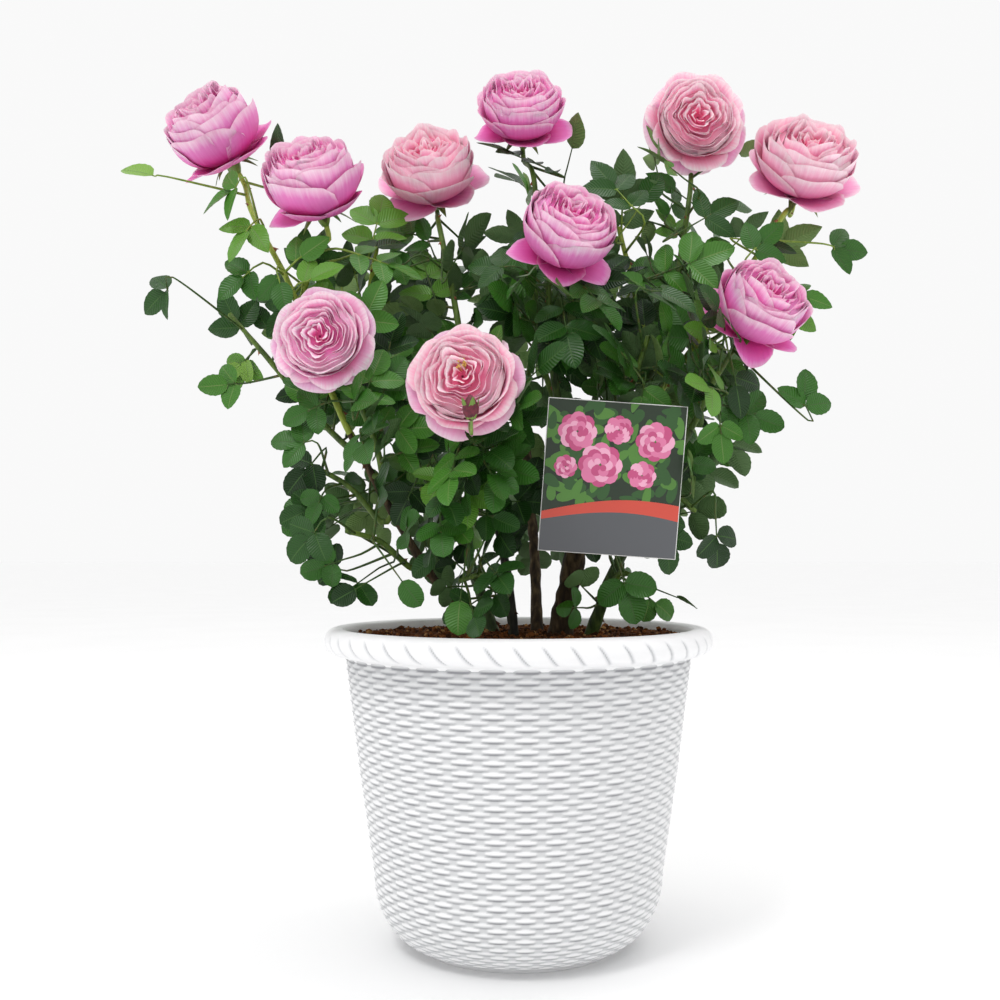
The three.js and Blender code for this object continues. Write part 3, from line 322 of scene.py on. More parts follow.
limb_controls = {}
limb_lines = {}
for limb_name, limb in LIMBS.items():
    if "fork" in limb:
        top = limb_lines[limb["fork"]][-1]
        start = add(top, (limb["start"][0], limb["start"][1], GAP))
        rise = add(start, (limb["start"][0] * FORK_RISE[0], limb["start"][1] * FORK_RISE[0], FORK_RISE[1]))
        limb_controls[limb_name] = [start, rise, *limb["points"]]
        limb_lines[limb_name] = smooth_line(limb_controls[limb_name], FORKED_LIMB_STEP)
    else:
        foot, *rest = limb["points"]
        limb_controls[limb_name] = [(foot[0], foot[1], SOIL_TOP + GAP), *rest]
        limb_lines[limb_name] = smooth_line(limb_controls[limb_name], LIMB_STEP)


def limb_radius(name, share):
    """Radius of a limb at a share of its length, without the flare of its foot."""
    return LIMBS[name]["foot"] + (LIMBS[name]["tip"] - LIMBS[name]["foot"]) * share


def bloom_frame(bloom):
    """A head's axis, a pair of sides, and its base."""
    direction = unit(bloom["face"])
    side = any_side(direction)
    base = along(bloom["at"], direction, -HEAD_MIDDLE * bloom["size"])
    return direction, side, cross(direction, side), base


def stem_points(start, direction, path, bloom_name):
    """The points that a stem passes, with a straight start and, under a head, a straight neck."""
    points = [start, along(start, direction, STEM["straight"]), *path]
    if bloom_name:
        facing_way, _, _, base = bloom_frame(BLOOMS[bloom_name])
        points += [along(base, facing_way, -STEM["neck"]), along(base, facing_way, -GAP)]
    return points


def shoot_stems(shoot):
    """A shoot's leading stem, and the one that forks from it where it has one."""
    line = limb_lines[shoot["limb"]]
    at, direction, _ = point_on(line, shoot["at"])
    leave = direction
    start = along(at, direction, GAP)
    if shoot["at"] < 1:
        leave = square_to(sub(shoot["path"][0], at), direction)
        start = along(at, leave, limb_radius(shoot["limb"], shoot["at"]) + GAP)
    points = stem_points(start, leave, shoot["path"], shoot.get("bloom"))
    leader = smooth_line(points, STEM["step"])
    stems = [{"points": [along(start, leave, -3), *points], "line": leader, "radius": STEM["radius"]}]
    if "fork" in shoot:
        fork = shoot["fork"]
        at, _, _ = point_on(leader, fork["at"])
        away = unit(sub(fork["path"][0], at))
        points = stem_points(at, away, fork["path"], fork["bloom"])
        radius = STEM["radius"] - STEM["fork_thinner"]
        stems.append({"points": points, "line": smooth_line(points, STEM["step"]), "radius": radius})
    return stems


# Clearance between convex pieces
SHORTEST = 1e-9
MOST_PIECES = 20000


class Piece:
    """A few points, padded by a radius, with the directions that can part it from another piece."""

    def __init__(self, points, pad, normals=(), edges=()):
        self.points = np.array(points, float).reshape(-1, 3)
        self.pad = pad
        self.normals = np.array(normals, float).reshape(-1, 3)
        self.edges = np.array(edges, float).reshape(-1, 3)
        self.middle = self.points.mean(0)
        self.around = float(np.linalg.norm(self.points - self.middle, axis=1).max()) + pad


def rod(a, b, radius):
    """A round piece from one point to another."""
    return Piece([a, b], radius, edges=[unit(sub(b, a))])


def slab(corners, pad, depth=None):
    """A flat four-cornered piece, or a block where it has a depth."""
    normal = unit(cross(sub(corners[1], corners[0]), sub(corners[2], corners[0])))
    edges = [unit(sub(corners[1], corners[0])), unit(sub(corners[2], corners[1]))]
    if depth:
        points = [*corners, *(add(p, depth) for p in corners)]
        return Piece(points, pad, [normal, *edges], [*edges, unit(depth)])
    return Piece(corners, pad, [normal, *edges], edges)


def apart(a, b, gap):
    """Whether some direction parts two pieces by the gap."""
    axes = [a.normals, b.normals, (a.points[:, None] - b.points[None]).reshape(-1, 3)]
    if len(a.edges) and len(b.edges):
        axes.append(np.cross(a.edges[:, None], b.edges[None]).reshape(-1, 3))
    axes = np.concatenate(axes)
    size = np.sqrt((axes * axes).sum(1))
    wide = size > SHORTEST
    axes = axes[wide] / size[wide, None]
    on_a, on_b = a.points @ axes.T, b.points @ axes.T
    need = a.pad + b.pad + gap
    return bool(np.any((on_b.min(0) - on_a.max(0) > need) | (on_a.min(0) - on_b.max(0) > need)))


class Placed:
    """Everything placed so far, with a quick search for what is near."""

    def __init__(self):
        self.pieces = []
        self.rows = np.zeros((MOST_PIECES, 4))

    def put(self, *pieces):
        for one in pieces:
            self.rows[len(self.pieces)] = (*one.middle, one.around)
            self.pieces.append(one)

    def fits(self, one, allowed, gap):
        """Whether a piece clears all that is placed by the gap, apart from the pieces it may touch."""
        rows = self.rows[:len(self.pieces)]
        off = rows[:, :3] - one.middle
        near = (off * off).sum(1) <= (rows[:, 3] + one.around + gap) ** 2
        for i in np.nonzero(near)[0]:
            other = self.pieces[i]
            if not any(other is a for a in allowed) and not apart(one, other, gap):
                return False
        return True


placed = Placed()


# Room that the limbs, the heads, the card and its strap take, in front of them too where leaves would hide them
FLARE_FADE = 14
HEAD = {"lift": 0.06, "radius": 0.5, "less_open": 0.02, "view_radius": 0.4}
CARD_ROOM = {"view_inset": 4, "view_pad": 3, "pad": 2, "depth": 1.5, "strap": 8}
STRAP_SEARCH = 200


def card_axes():
    """The card's own directions across and up."""
    turn, lean = math.radians(-CARD["turn"]), math.radians(CARD["lean"])
    across = (math.cos(turn), 0, math.sin(turn))
    up = unit((-math.sin(turn), -math.sin(lean), math.cos(turn) * math.cos(lean)))
    return across, up


def card_corners(inset):
    """The card's corners, moved in by the inset."""
    across, up = card_axes()
    w, h = CARD["width"] / 2 - inset, CARD["height"] / 2 - inset
    return [along(along(CARD["at"], across, x), up, z) for x, z in ((-w, -h), (w, -h), (w, h), (-w, h))]


def strap_share():
    """Where along the main cane the card's strap goes round it."""
    cane = limb_lines["cane_main"]
    shares = [i / STRAP_SEARCH for i in range(STRAP_SEARCH + 1)]
    return max(share for share in shares if point_on(cane, share)[0][2] < CARD["strap_z"])


def place_fixed_pieces():
    """Places the limbs, the heads, the card and its strap, and the clear view of the heads and the card."""
    for name, line in limb_lines.items():
        for i in range(len(line) - 1):
            flare = LIMBS[name]["flare"] * math.exp((-i * FLARE_FADE) / len(line))
            placed.put(rod(line[i], line[i + 1], limb_radius(name, i / (len(line) - 1)) + flare))
    for bloom in BLOOMS.values():
        direction = unit(bloom["face"])
        centre = along(bloom["at"], direction, bloom["size"] * HEAD["lift"])
        placed.put(Piece([centre], bloom["size"] * (HEAD["radius"] - HEAD["less_open"] * bloom["open"])))
        if bloom["face"][1] < 0:
            front = along(bloom["at"], (0, -1, 0), 1)
            placed.put(rod(front, add(front, (0, -CLEAR_VIEW, 0)), bloom["size"] * HEAD["view_radius"]))
    placed.put(slab(card_corners(CARD_ROOM["view_inset"]), CARD_ROOM["view_pad"], (0, -CLEAR_VIEW, 0)))
    placed.put(slab(card_corners(0), CARD_ROOM["pad"], (0, CARD_ROOM["depth"], 0)))
    end, _, _ = point_on(limb_lines["cane_main"], strap_share())
    strap = (end[0], CARD["at"][1], CARD["strap_z"]), (end[0], end[1], CARD["strap_z"])
    placed.put(rod(*strap, CARD_ROOM["strap"]))


POT_ROOM = {"inside": 4, "above": 2}


def clear_of_pot(p):
    """Whether a point lies above the soil, the rim or, outside them, the lowest leaves."""
    out = math.hypot(p[0], p[1])
    if out < POT["rim_inner"] - POT_ROOM["inside"]:
        return p[2] > SOIL_TOP + POT_ROOM["above"]
    return p[2] > (POT["height"] + POT_ROOM["above"] if out < POT["rim_radius"] else LOWEST_OUTSIDE_POT)


def leaflet(junction, direction, face, form, size):
    """The four corners of one leaflet of a solid's leaf."""
    across = cross(direction, face)
    middle = along(junction, direction, form[0] * form[2] * size)
    tip = along(along(junction, direction, form[0] * size), face, -LEAF["droop"] * form[0] * size)
    half = form[1] * size / 2
    right, left = along(middle, across, half), along(middle, across, -half)
    return {"root": junction, "right": right, "tip": tip, "left": left}


def leaf_parts(line, direction, face, size):
    """A leaf of the solids: its twig's line up to the junction, and three leaflets with the end one between."""
    across = cross(direction, face)
    junction = along(line[-1], direction, LEAF["stalk"] * size)
    blades = []
    for turn in (1, -1):
        out = unit(along(scale(direction, LEAF["pair_turn"]), across, turn))
        blades.append(leaflet(junction, out, face, PAIR_LEAFLET, size))
    blades.insert(1, leaflet(junction, direction, face, END_LEAFLET, size))
    return {"line": [*line, junction], "direction": direction, "face": face, "size": size, "blades": blades}


# The growth of twigs and leaves. Each shoot keeps to the space that is nearer to its own stems than to others'.
place_fixed_pieces()
shoots = [{"seed": 0, **shoot, "stems": shoot_stems(shoot)} for shoot in SHOOTS]
for shoot in shoots:
    own_rods = []
    for stem in shoot["stems"]:
        line = stem["line"]
        own_rods += [rod(line[i], line[i + 1], stem["radius"]) for i in range(len(line) - 1)]
    shoot["rods"] = own_rods
    placed.put(*own_rods)
FIXED_PIECES = len(placed.pieces)

SEGMENT_STARTS, SEGMENT_EDGES, FIRST_SEGMENTS = [], [], []
for shoot in shoots:
    FIRST_SEGMENTS.append(len(SEGMENT_STARTS))
    for stem in shoot["stems"]:
        for a, b in zip(stem["line"], stem["line"][1:]):
            SEGMENT_STARTS.append(a)
            SEGMENT_EDGES.append(sub(b, a))
SEGMENT_STARTS, SEGMENT_EDGES = np.array(SEGMENT_STARTS), np.array(SEGMENT_EDGES)
SEGMENT_SQUARES = (SEGMENT_EDGES * SEGMENT_EDGES).sum(1)


def distances_to_shoots(points):
    """For each point, its distance to the nearest stem of every shoot."""
    off = np.array(points)[:, None] - SEGMENT_STARTS[None]
    t = np.clip((off * SEGMENT_EDGES).sum(2) / SEGMENT_SQUARES, 0, 1)
    away = off - SEGMENT_EDGES * t[..., None]
    return np.minimum.reduceat(np.sqrt((away * away).sum(2)), FIRST_SEGMENTS, axis=1)


# How a leaf faces: outwards to its own side for some, and to the front or the back for the rest
FACING = {"depth_spread": 0.6, "rear_from": 0.25, "aside": (0.9, 0.3), "ahead": (0.5, 0.85), "up": 0.32,
          "spread": 0.5}
LEAF_WAY = {"spread": 0.35, "more_each_try": 0.09, "sag": (0, 0, -0.1), "least_ahead": 0.1}
TIP = {"stations": 20, "ends": (0.04, 0.96), "back": 0.12, "size": (0.9, 0.2), "spread": 0.02, "shortest_twig": 12}
TWIG = {"from": 0.1, "span": 0.86, "turn": 0.8, "spread": 0.5, "ahead": 0.35, "outwards": 0.3, "reach": (0.2, 0.32),
        "sag": 0.06, "second": (0.5, 0.25), "aside": 0.5, "slots": 0.8}


class Growth:
    """Twigs leave each stem by the golden angle, and carry a leaf at the tip and one on the way."""

    def __init__(self, index, seed, gap, sizes):
        self.index = index
        self.shoot = shoots[index]
        self.random = random_stream(seed)
        self.gap = gap
        self.sizes = sizes
        self.leaves = []

    def spread(self):
        return self.random() * 2 - 1

    def random_vector(self):
        return (self.spread(), self.spread(), self.spread())

    def own(self, points, slack):
        """Whether points lie within the shoot's reach and, but for some slack, in its own space."""
        d = distances_to_shoots(points)
        near = d[:, self.index].copy()
        if (near > self.shoot["reach"]).any():
            return False
        d[:, self.index] = np.inf
        return bool((d.min(1) > near - slack).all())

    def facing(self, p):
        """The way a leaf at this place turns its face."""
        across = (p[0] - CROWN["centre"][0]) / CROWN["half_width"]
        depth = (p[1] - CROWN["centre"][1]) / CROWN["half_depth"] + FACING["depth_spread"] * self.spread()
        sideways = self.random() < SIDEWAYS_SHARE
        towards = -1 if depth < FACING["rear_from"] else 1
        if sideways:
            out, ahead = FACING["aside"]
            level = (-out if across < 0 else out, ahead * towards)
        else:
            out, ahead = FACING["ahead"]
            level = (out * across, ahead * towards)
        return unit(add((*level, FACING["up"]), scale(self.random_vector(), FACING["spread"])))

    def stays(self, leaf):
        """Whether a leaf keeps to the shoot's space and clear of the pot."""
        points = [p for b in leaf["blades"] for p in (b["tip"], b["left"], b["right"])]
        if not self.own([leaf["blades"][0]["root"]], SLACK["junction"]):
            return False
        return all(clear_of_pot(p) for p in points) and self.own(points, SLACK["leaflet"])

    def place(self, leaf, carrier):
        """Places a leaf where it fits, and gives the rods of its twig."""
        if not self.stays(leaf):
            return None
        corners = ("root", "right", "tip", "left")
        blades = [slab([b[corner] for corner in corners], LEAF["thickness"] / 2) for b in leaf["blades"]]
        rods = [rod(a, b, TWIG_RADIUS) for a, b in zip(leaf["line"], leaf["line"][1:])]
        if not all(placed.fits(r, carrier, self.gap) for r in rods):
            return None
        if not all(placed.fits(b, (), self.gap) for b in blades):
            return None
        placed.put(*rods, *blades)
        self.leaves.append(leaf)
        return rods

    def try_leaf(self, line, heading, carrier):
        """A leaf at the end of the twig's line, near the heading, where one of a few tries fits."""
        for attempt in range(TRIES["leaf"]):
            face = self.facing(line[-1])
            spread = LEAF_WAY["spread"] + LEAF_WAY["more_each_try"] * attempt
            wish = add(add(heading, scale(self.random_vector(), spread)), LEAF_WAY["sag"])
            direction = square_to(wish, face)
            size = self.sizes[0] + self.sizes[1] * self.random()
            if dot(direction, heading) < LEAF_WAY["least_ahead"]:
                continue
            rods = self.place(leaf_parts(line, direction, face, size), carrier)
            if rods:
                return rods
        return None

    def reach_tip(self, target):
        """A leaf that ends at one of the crown's furthest points, on a twig from the nearest stem."""
        def gap_to(stem):
            a = np.array(stem["line"])
            e = a[1:] - a[:-1]
            off = np.array(target) - a[:-1]
            t = np.clip((off * e).sum(1) / (e * e).sum(1), 0, 1)
            return float(np.sqrt(((off - e * t[:, None]) ** 2).sum(1)).min())

        line = min(self.shoot["stems"], key=gap_to)["line"]
        stations = [k / TIP["stations"] for k in range(TIP["stations"])]
        best = min(stations, key=lambda share: length(sub(point_on(line, share)[0], target)))
        for attempt in range(TRIES["tip"]):
            low, high = TIP["ends"]
            share = min(high, max(low, best - TIP["back"] * self.random()))
            at = point_on(line, share)[0]
            face = self.facing(target)
            size = TIP["size"][0] + TIP["size"][1] * self.random()
            wish = add(unit(sub(target, at)), scale(self.random_vector(), TIP["spread"] * attempt))
            heading = square_to(wish, face)
            tip = sub(target, scale(heading, (LEAF["stalk"] + END_LEAFLET[0]) * size))
            twig = [at] if length(sub(tip, at)) < TIP["shortest_twig"] else [at, tip]
            if self.place(leaf_parts(twig, heading, face, size), self.shoot["rods"]):
                return

    def grow_stem(self, stem, wanted, slots, lift):
        """Twigs at equal steps along a stem until it has the leaves that are wanted."""
        grown = 0
        for i in range(slots):
            if grown >= wanted:
                return
            at, direction, _ = point_on(stem["line"], TWIG["from"] + TWIG["span"] * (i + 0.5) / slots)
            side = any_side(direction)
            other = cross(direction, side)
            for attempt in range(TRIES["twig"]):
                angle = GOLDEN_ANGLE * (i + lift) + attempt * TWIG["turn"] + TWIG["spread"] * self.spread()
                radial = along(scale(side, math.cos(angle)), other, math.sin(angle))
                out = unit(sub(at, CROWN["centre"]))
                ahead = add(radial, scale(direction, TWIG["ahead"]))
                heading = unit(add(ahead, scale(out, TWIG["outwards"])))
                reach = self.shoot["reach"] * (TWIG["reach"][0] + TWIG["reach"][1] * self.random())
                tip = along(along(at, heading, reach), (0, 0, 1), -TWIG["sag"] * reach)
                if not clear_of_pot(tip) or not self.own([tip], 0):
                    continue
                rods = self.try_leaf([at, tip], heading, self.shoot["rods"])
                if not rods:
                    continue
                grown += 1
                middle = mix(at, tip, TWIG["second"][0] + TWIG["second"][1] * self.random())
                aside = unit(add(cross(heading, direction), scale(heading, TWIG["aside"])))
                heads = [aside, unit(sub(heading, aside))]
                for head in heads if self.random() < 0.5 else heads[::-1]:
                    if grown < wanted and self.try_leaf([middle], head, [rods[0]]):
                        grown += 1
                        break
                break

    def shares(self, leaves):
        """The shoot's stems, each with its share of the leaves by its length."""
        lengths = [point_on(s["line"], 0)[2] for s in self.shoot["stems"]]
        return [(stem, rounded_half_up(leaves * own_length / sum(lengths)))
                for stem, own_length in zip(self.shoot["stems"], lengths)]

    def grow(self):
        for tip in self.shoot["tips"]:
            self.reach_tip(tip)
        for stem, wanted in self.shares(self.shoot["leaves"]):
            self.grow_stem(stem, wanted, math.ceil(wanted * TWIG["slots"]), 0)
            if "bloom" not in self.shoot and stem is self.shoot["stems"][0]:
                at, direction, _ = point_on(stem["line"], 1)
                self.try_leaf([along(at, direction, -LEAF["root_sunk"])], direction, self.shoot["rods"])


solid_leaves = []
for index, shoot in enumerate(shoots):
    growth = Growth(index, SEED * (index + 1) + shoot["seed"], LEAF_GAP, LEAF_SIZES)
    growth.grow()
    solid_leaves.append(growth.leaves)


# The leaves as they are seen, with true leaflets along the stalk that end where the solid's leaf ends
OPEN_FROM, OPEN_OVER = 0.6, 0.5
GAP_EDGE = {"to": 1.3, "over": 0.5, "rear_from": 60, "at_rear": 0.7, "at_tip": 0.8}
# Heights in the crown over which leaflets change from round and broad to pointed and narrow
HIGH = {"from": 330, "over": 300, "top": 0.9}
LEAFLET_SIZE = {"long": 27, "longer_high": 7, "spread": (0.9, 1.1), "shorter_open": 0.12, "wide": 0.84,
                "slimmer_high": 0.24, "wide_spread": (0.9, 1.06)}
# Pairs behind the end leaflet: how far back, in millimetres and in lengths, how far forward they lean, their size
PAIRS = ((7, 0, 0.5, 0.93), (7, 0.62, 0.4, 0.84), (7, 1.2, 0.3, 0.66))
PAIR_LOSS = {"first": 0.25, "first_in_gap": 0.6, "later": 0.7, "far_out": 0.15, "far_out_top": 4}
# How a leaf's face is turned on: to the front or back low in the crown and up high in it, and far out at the sides
TURNED = {"forward_low": 0.6, "up_high": 0.7, "rear_from": 30, "own_far_out": 0.3, "up_far_out": 0.3,
          "depth_far_out": 0.25, "stalk_far_out": 4}
LEAFLET_TILT = 0.4
LEAFLET_STALK = 1.2
SHORTEST_STALK = 2
STALK_RADIUS = 0.9
TWIG_ROOM = 7
# The flat piece that stands for a leaflet: where it starts, and its widest place, half width and droop in shares
BLADE_SLAB = {"from": 2, "widest": 0.45, "half_width": 0.45, "droop": 0.08}
BLADE_PAD = 0.5
OVERLAP_ROOM = 0.05
FEWEST_LEAFLETS = 2
# Finer leaves: how many are lost where the crown is open, how many more a shoot has, their slots for each, and
# where on the golden angle they start
FINE_LOSS, FINE_MORE, FINE_SLOTS, FINE_LIFT = 0.9, 2, 1.1, 0.5
NEAR_TIP = 12
ON_TWIG = 0.05

seen = Placed()
seen.put(*placed.pieces[:FIXED_PIECES])
leaf_random = np.random.default_rng(29)


def openness(p):
    """How open the crown is at a point: 0 in its close middle, 1 at its loose sides, top and foot."""
    across = (p[0] - CORE["centre"][0]) / CORE["half_width"]
    up = (p[2] - CORE["centre"][1]) / CORE["half_height"]
    return max(gap_at(p), min(1, max(0, (math.hypot(across, up) - OPEN_FROM) / OPEN_OVER)))


def gap_at(p):
    """1 in the middle of a gap in the crown, as seen from the front, falling to 0 past its edge."""
    nearer = CAMERA_DISTANCE / (CAMERA_DISTANCE + p[1] * MM)
    across, up = p[0] * nearer, (p[2] - CAMERA_HEIGHT / MM) * nearer + CAMERA_HEIGHT / MM
    away = min(math.hypot(across - x, up - z) / reach for x, z, reach in GAPS_IN_CROWN)
    share = min(1, max(0, (GAP_EDGE["to"] - away) / GAP_EDGE["over"]))
    return share * (GAP_EDGE["at_rear"] if p[1] > GAP_EDGE["rear_from"] else 1)


def in_gap(leaf):
    """How far a leaf lies in a gap, by its junction, its middle and its tip."""
    junction, end = leaf["line"][-1], leaf["blades"][1]["tip"]
    return max(gap_at(junction), gap_at(mix(junction, end, 0.5)), GAP_EDGE["at_tip"] * gap_at(end))


def true_leaflets(line, direction, face, size, tip):
    """The end of a leaf's stalk and its leaflets: the end one first, then pairs of smaller ones behind it."""
    rng = leaf_random
    junction = line[-1]
    high = min(1, max(0, (junction[2] - HIGH["from"]) / HIGH["over"]))
    loose = openness(junction)
    long = (LEAFLET_SIZE["long"] + LEAFLET_SIZE["longer_high"] * high) * (0.5 + 0.5 * size)
    long = long * rng.uniform(*LEAFLET_SIZE["spread"]) * (1 - LEAFLET_SIZE["shorter_open"] * loose)
    wide = long * (LEAFLET_SIZE["wide"] - LEAFLET_SIZE["slimmer_high"] * high)
    wide = wide * rng.uniform(*LEAFLET_SIZE["wide_spread"])
    front = -1 if junction[1] < TURNED["rear_from"] else 1
    face = add(face, (0, front * TURNED["forward_low"] * (1 - high), TURNED["up_high"] * high))
    if abs(junction[0] - CORE["centre"][0]) > FAR_OUT:
        # Leaves far out at the sides turn to the front or the back, and hang by a short stalk
        loose = PAIR_LOSS["far_out_top"] if high > HIGH["top"] else PAIR_LOSS["far_out"]
        face = add(scale(face, TURNED["own_far_out"]), (0, front, TURNED["up_far_out"]))
        direction = unit((direction[0], TURNED["depth_far_out"] * direction[1], direction[2]))
        tip = along(junction, direction, long + TURNED["stalk_far_out"])
    face = square_to(face, direction)

    def tilted():
        return unit(add(face, tuple(rng.uniform(-LEAFLET_TILT, LEAFLET_TILT, 3))))

    run = sub(tip, junction)
    way = unit(run)
    end = along(junction, way, max(SHORTEST_STALK, length(run) - long))
    leaflets = [{"root": end, "way": way, "face": tilted(), "long": long, "wide": wide}]
    across = unit(cross(direction, face))
    to_twig = unit(sub(line[-2], junction))
    stalk = length(sub(end, junction))
    room = stalk + length(sub(line[-2], junction)) - TWIG_ROOM
    loss = PAIR_LOSS["first"] + PAIR_LOSS["first_in_gap"] * gap_at(junction)
    for start, step, forward, share in PAIRS:
        back = start + step * long
        if back > room or rng.random() < loss * loose:
            break
        loss = PAIR_LOSS["later"]
        root = along(junction, to_twig, back - stalk) if back > stalk else along(end, way, -back)
        for turn in (1, -1):
            out = unit(add(scale(direction, forward * rng.uniform(0.7, 1.3)), scale(across, turn)))
            leaflets.append({"root": along(root, out, LEAFLET_STALK), "way": out, "face": tilted(),
                             "long": long * share, "wide": wide * share})
    return end, leaflets


def leaflet_slab(one, pad):
    """A flat piece about as large as a leaflet."""
    root, way = one["root"], one["way"]
    face = square_to(one["face"], way)
    across = cross(way, face)
    start = along(root, way, BLADE_SLAB["from"])
    middle = along(root, way, BLADE_SLAB["widest"] * one["long"])
    tip = along(along(root, way, one["long"]), face, -BLADE_SLAB["droop"] * one["long"])
    half = one["wide"] * BLADE_SLAB["half_width"]
    return slab([start, along(middle, across, half), tip, along(middle, across, -half)], pad)


def within_reach(p):
    """Whether a leaflet's tip stays within a few millimetres of the solids' box."""
    return all(low - PROUD < c * MM < high + PROUD for c, low, high in zip(p, *solid_box))


def see_leaf(leaf, carrier, gap, forced):
    """Gives a leaf its true leaflets where they clear what is seen so far, and keeps them."""
    line = leaf["line"]
    end, leaflets = true_leaflets(line, leaf["direction"], leaf["face"], leaf["size"], leaf["blades"][1]["tip"])
    whole = [*line, end]
    rods = [rod(a, b, STALK_RADIUS) for a, b in zip(whole, whole[1:])]
    if not forced and not all(seen.fits(r, carrier, gap) for r in rods):
        return None
    kept, slabs = [], []
    for number, one in enumerate(leaflets):
        form = leaflet_slab(one, BLADE_PAD)
        free = seen.fits(form, carrier, OVERLAP_ROOM if forced else gap) and within_reach(form.points[2])
        if free and clear_of_pot(tuple(form.points[2])) or forced and number == 0:
            kept.append(one)
            slabs.append(form)
        elif number == 0:
            return None
    if len(kept) < FEWEST_LEAFLETS and not forced:
        return None
    leaf["leaflets"], leaf["end"], leaf["seen"] = kept, end, rods
    seen.put(*rods, *slabs)
    return rods


class FineGrowth(Growth):
    """The same rule carried on to shorter twigs with smaller leaves, between those of the solids."""

    def place(self, leaf, carrier):
        if leaf_random.random() < max(FINE_LOSS * openness(leaf["line"][-1]), in_gap(leaf)):
            return None
        rods = see_leaf(leaf, carrier, self.gap, False) if self.stays(leaf) else None
        if rods:
            self.leaves.append(leaf)
        return rods

    def grow(self):
        for stem, wanted in self.shares(FINE_MORE + FINE_LEAVES * self.shoot["leaves"]):
            self.grow_stem(stem, wanted, math.ceil(wanted * FINE_SLOTS), FINE_LIFT)


def may_go(leaf, leaves, shoot):
    """Whether a leaf is neither one of the crown's furthest nor has another growing on its twig."""
    if any(length(sub(leaf["blades"][1]["tip"], tip)) < NEAR_TIP for tip in shoot["tips"]):
        return False
    a, b = leaf["line"][:2]
    feet = [other["line"][0] for other in leaves if other is not leaf]
    return all(length(sub(foot, a)) + length(sub(foot, b)) >= length(sub(a, b)) + ON_TWIG for foot in feet)


# The leaves that are seen, by shoot: first those of the solids, but for some in the gaps, then the finer ones
shown_leaves = []
for leaves, shoot in zip(solid_leaves, shoots):
    kept = [leaf for leaf in leaves if leaf_random.random() > in_gap(leaf) or not may_go(leaf, leaves, shoot)]
    for leaf in kept:
        twigs = [r for other in kept for r in other.get("seen", ())]
        see_leaf(leaf, [*shoot["rods"], *twigs], 0, True)
    shown_leaves.append(kept)
for index, kept in enumerate(shown_leaves):
    growth = FineGrowth(index, FINE_SEED * (index + 3), FINE_LEAF_GAP, FINE_LEAF_SIZES)
    growth.grow()
    kept += growth.leaves


# Meshes gathered from arrays
class Gathered:
    """Points and faces of many forms, which become one object."""

    def __init__(self):
        self.points, self.corners, self.sizes, self.spots, self.slots, self.painted_lights = [], [], [], [], [], []
        self.count = 0

    def put(self, points, faces, spots=None, slot=0, painted_lights=None):
        """Adds points and their faces, and gives the number of the first point."""
        start = self.count
        points = np.asarray(points, float).reshape(-1, 3)
        self.points.append(points)
        self.count += len(points)
        # Painted light and shade of the points, where there is any
        if painted_lights is not None:
            self.painted_lights.append((start, np.asarray(painted_lights, np.float32).ravel()))
        self.put_faces(np.asarray(faces, np.int64) + start, spots, slot)
        return start

    def put_faces(self, faces, spots=None, slot=0):
        """Adds faces over points that are there already."""
        self.corners.append(faces.ravel())
        self.sizes.append(np.full(len(faces), faces.shape[1], np.int32))
        self.spots.append(np.zeros((faces.size, 2)) if spots is None else np.asarray(spots, float).reshape(-1, 2))
        self.slots.append(np.broadcast_to(np.asarray(slot, np.int32), len(faces)))


def make_piece(name, gathered, materials, nodes, flat=False):
    """Makes the object with its materials, hangs it from the root body and hides the solids that it stands for."""
    points = np.concatenate(gathered.points) * MM
    corners = np.concatenate(gathered.corners).astype(np.int32)
    sizes = np.concatenate(gathered.sizes)
    starts = (np.cumsum(sizes) - sizes).astype(np.int32)
    mesh = bpy.data.meshes.new(name)
    mesh.vertices.add(len(points))
    mesh.vertices.foreach_set("co", points.ravel())
    mesh.loops.add(len(corners))
    mesh.loops.foreach_set("vertex_index", corners)
    mesh.polygons.add(len(sizes))
    mesh.polygons.foreach_set("loop_start", starts)
    mesh.polygons.foreach_set("material_index", np.concatenate(gathered.slots).astype(np.int32))
    mesh.polygons.foreach_set("use_smooth", np.full(len(sizes), not flat))
    for material in materials:
        mesh.materials.append(material)
    spots = np.concatenate(gathered.spots)
    if spots.any():
        mesh.uv_layers.new(name="OFBake").data.foreach_set("uv", spots.ravel())
    # Painted light and shade of the points, kept for the materials; 1 where none is painted
    if gathered.painted_lights:
        painted_lights = np.ones(len(points), np.float32)
        for start, values in gathered.painted_lights:
            painted_lights[start:start + len(values)] = values
        mesh.attributes.new("height_of_relief", "FLOAT", "POINT").data.foreach_set("value", painted_lights)
    mesh.update()
    mesh.validate()
    if not flat:
        mesh.set_sharp_from_angle(angle=SHARPEST_SMOOTH)
    piece = bpy.data.objects.new(name, mesh)
    bpy.context.scene.collection.objects.link(piece)
    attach(piece, "root")
    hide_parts(*nodes)
    return piece


def grid(rows, columns, closed=False):
    """Faces of a grid of points, row by row. In a closed one the last column meets the first."""
    i = np.arange(rows - 1)[:, None] * columns
    j = np.arange(columns if closed else columns - 1)[None]
    k = (j + 1) % columns
    return np.stack([i + j, i + k, i + k + columns, i + j + columns], -1).reshape(-1, 4)


def grid_spots(u, v):
    """UV corners of that grid's faces, for the places u of its column edges and v of its rows."""
    u, v = np.asarray(u, float), np.asarray(v, float)
    left, right = np.meshgrid(u[:-1], v[:-1])[0], np.meshgrid(u[1:], v[:-1])[0]
    low, high = np.meshgrid(u[:-1], v[:-1])[1], np.meshgrid(u[:-1], v[1:])[1]
    corners = [np.stack(p, -1) for p in ((left, low), (right, low), (right, high), (left, high))]
    return np.stack(corners, -2).reshape(-1, 4, 2)


def turns(count):
    """Angles at equal steps round a circle."""
    return TURN * np.arange(count) / count


def way_along(line):
    """How far along a line each of its points lies."""
    return np.concatenate([[0], np.cumsum(np.linalg.norm(np.diff(line, axis=0), axis=1))])


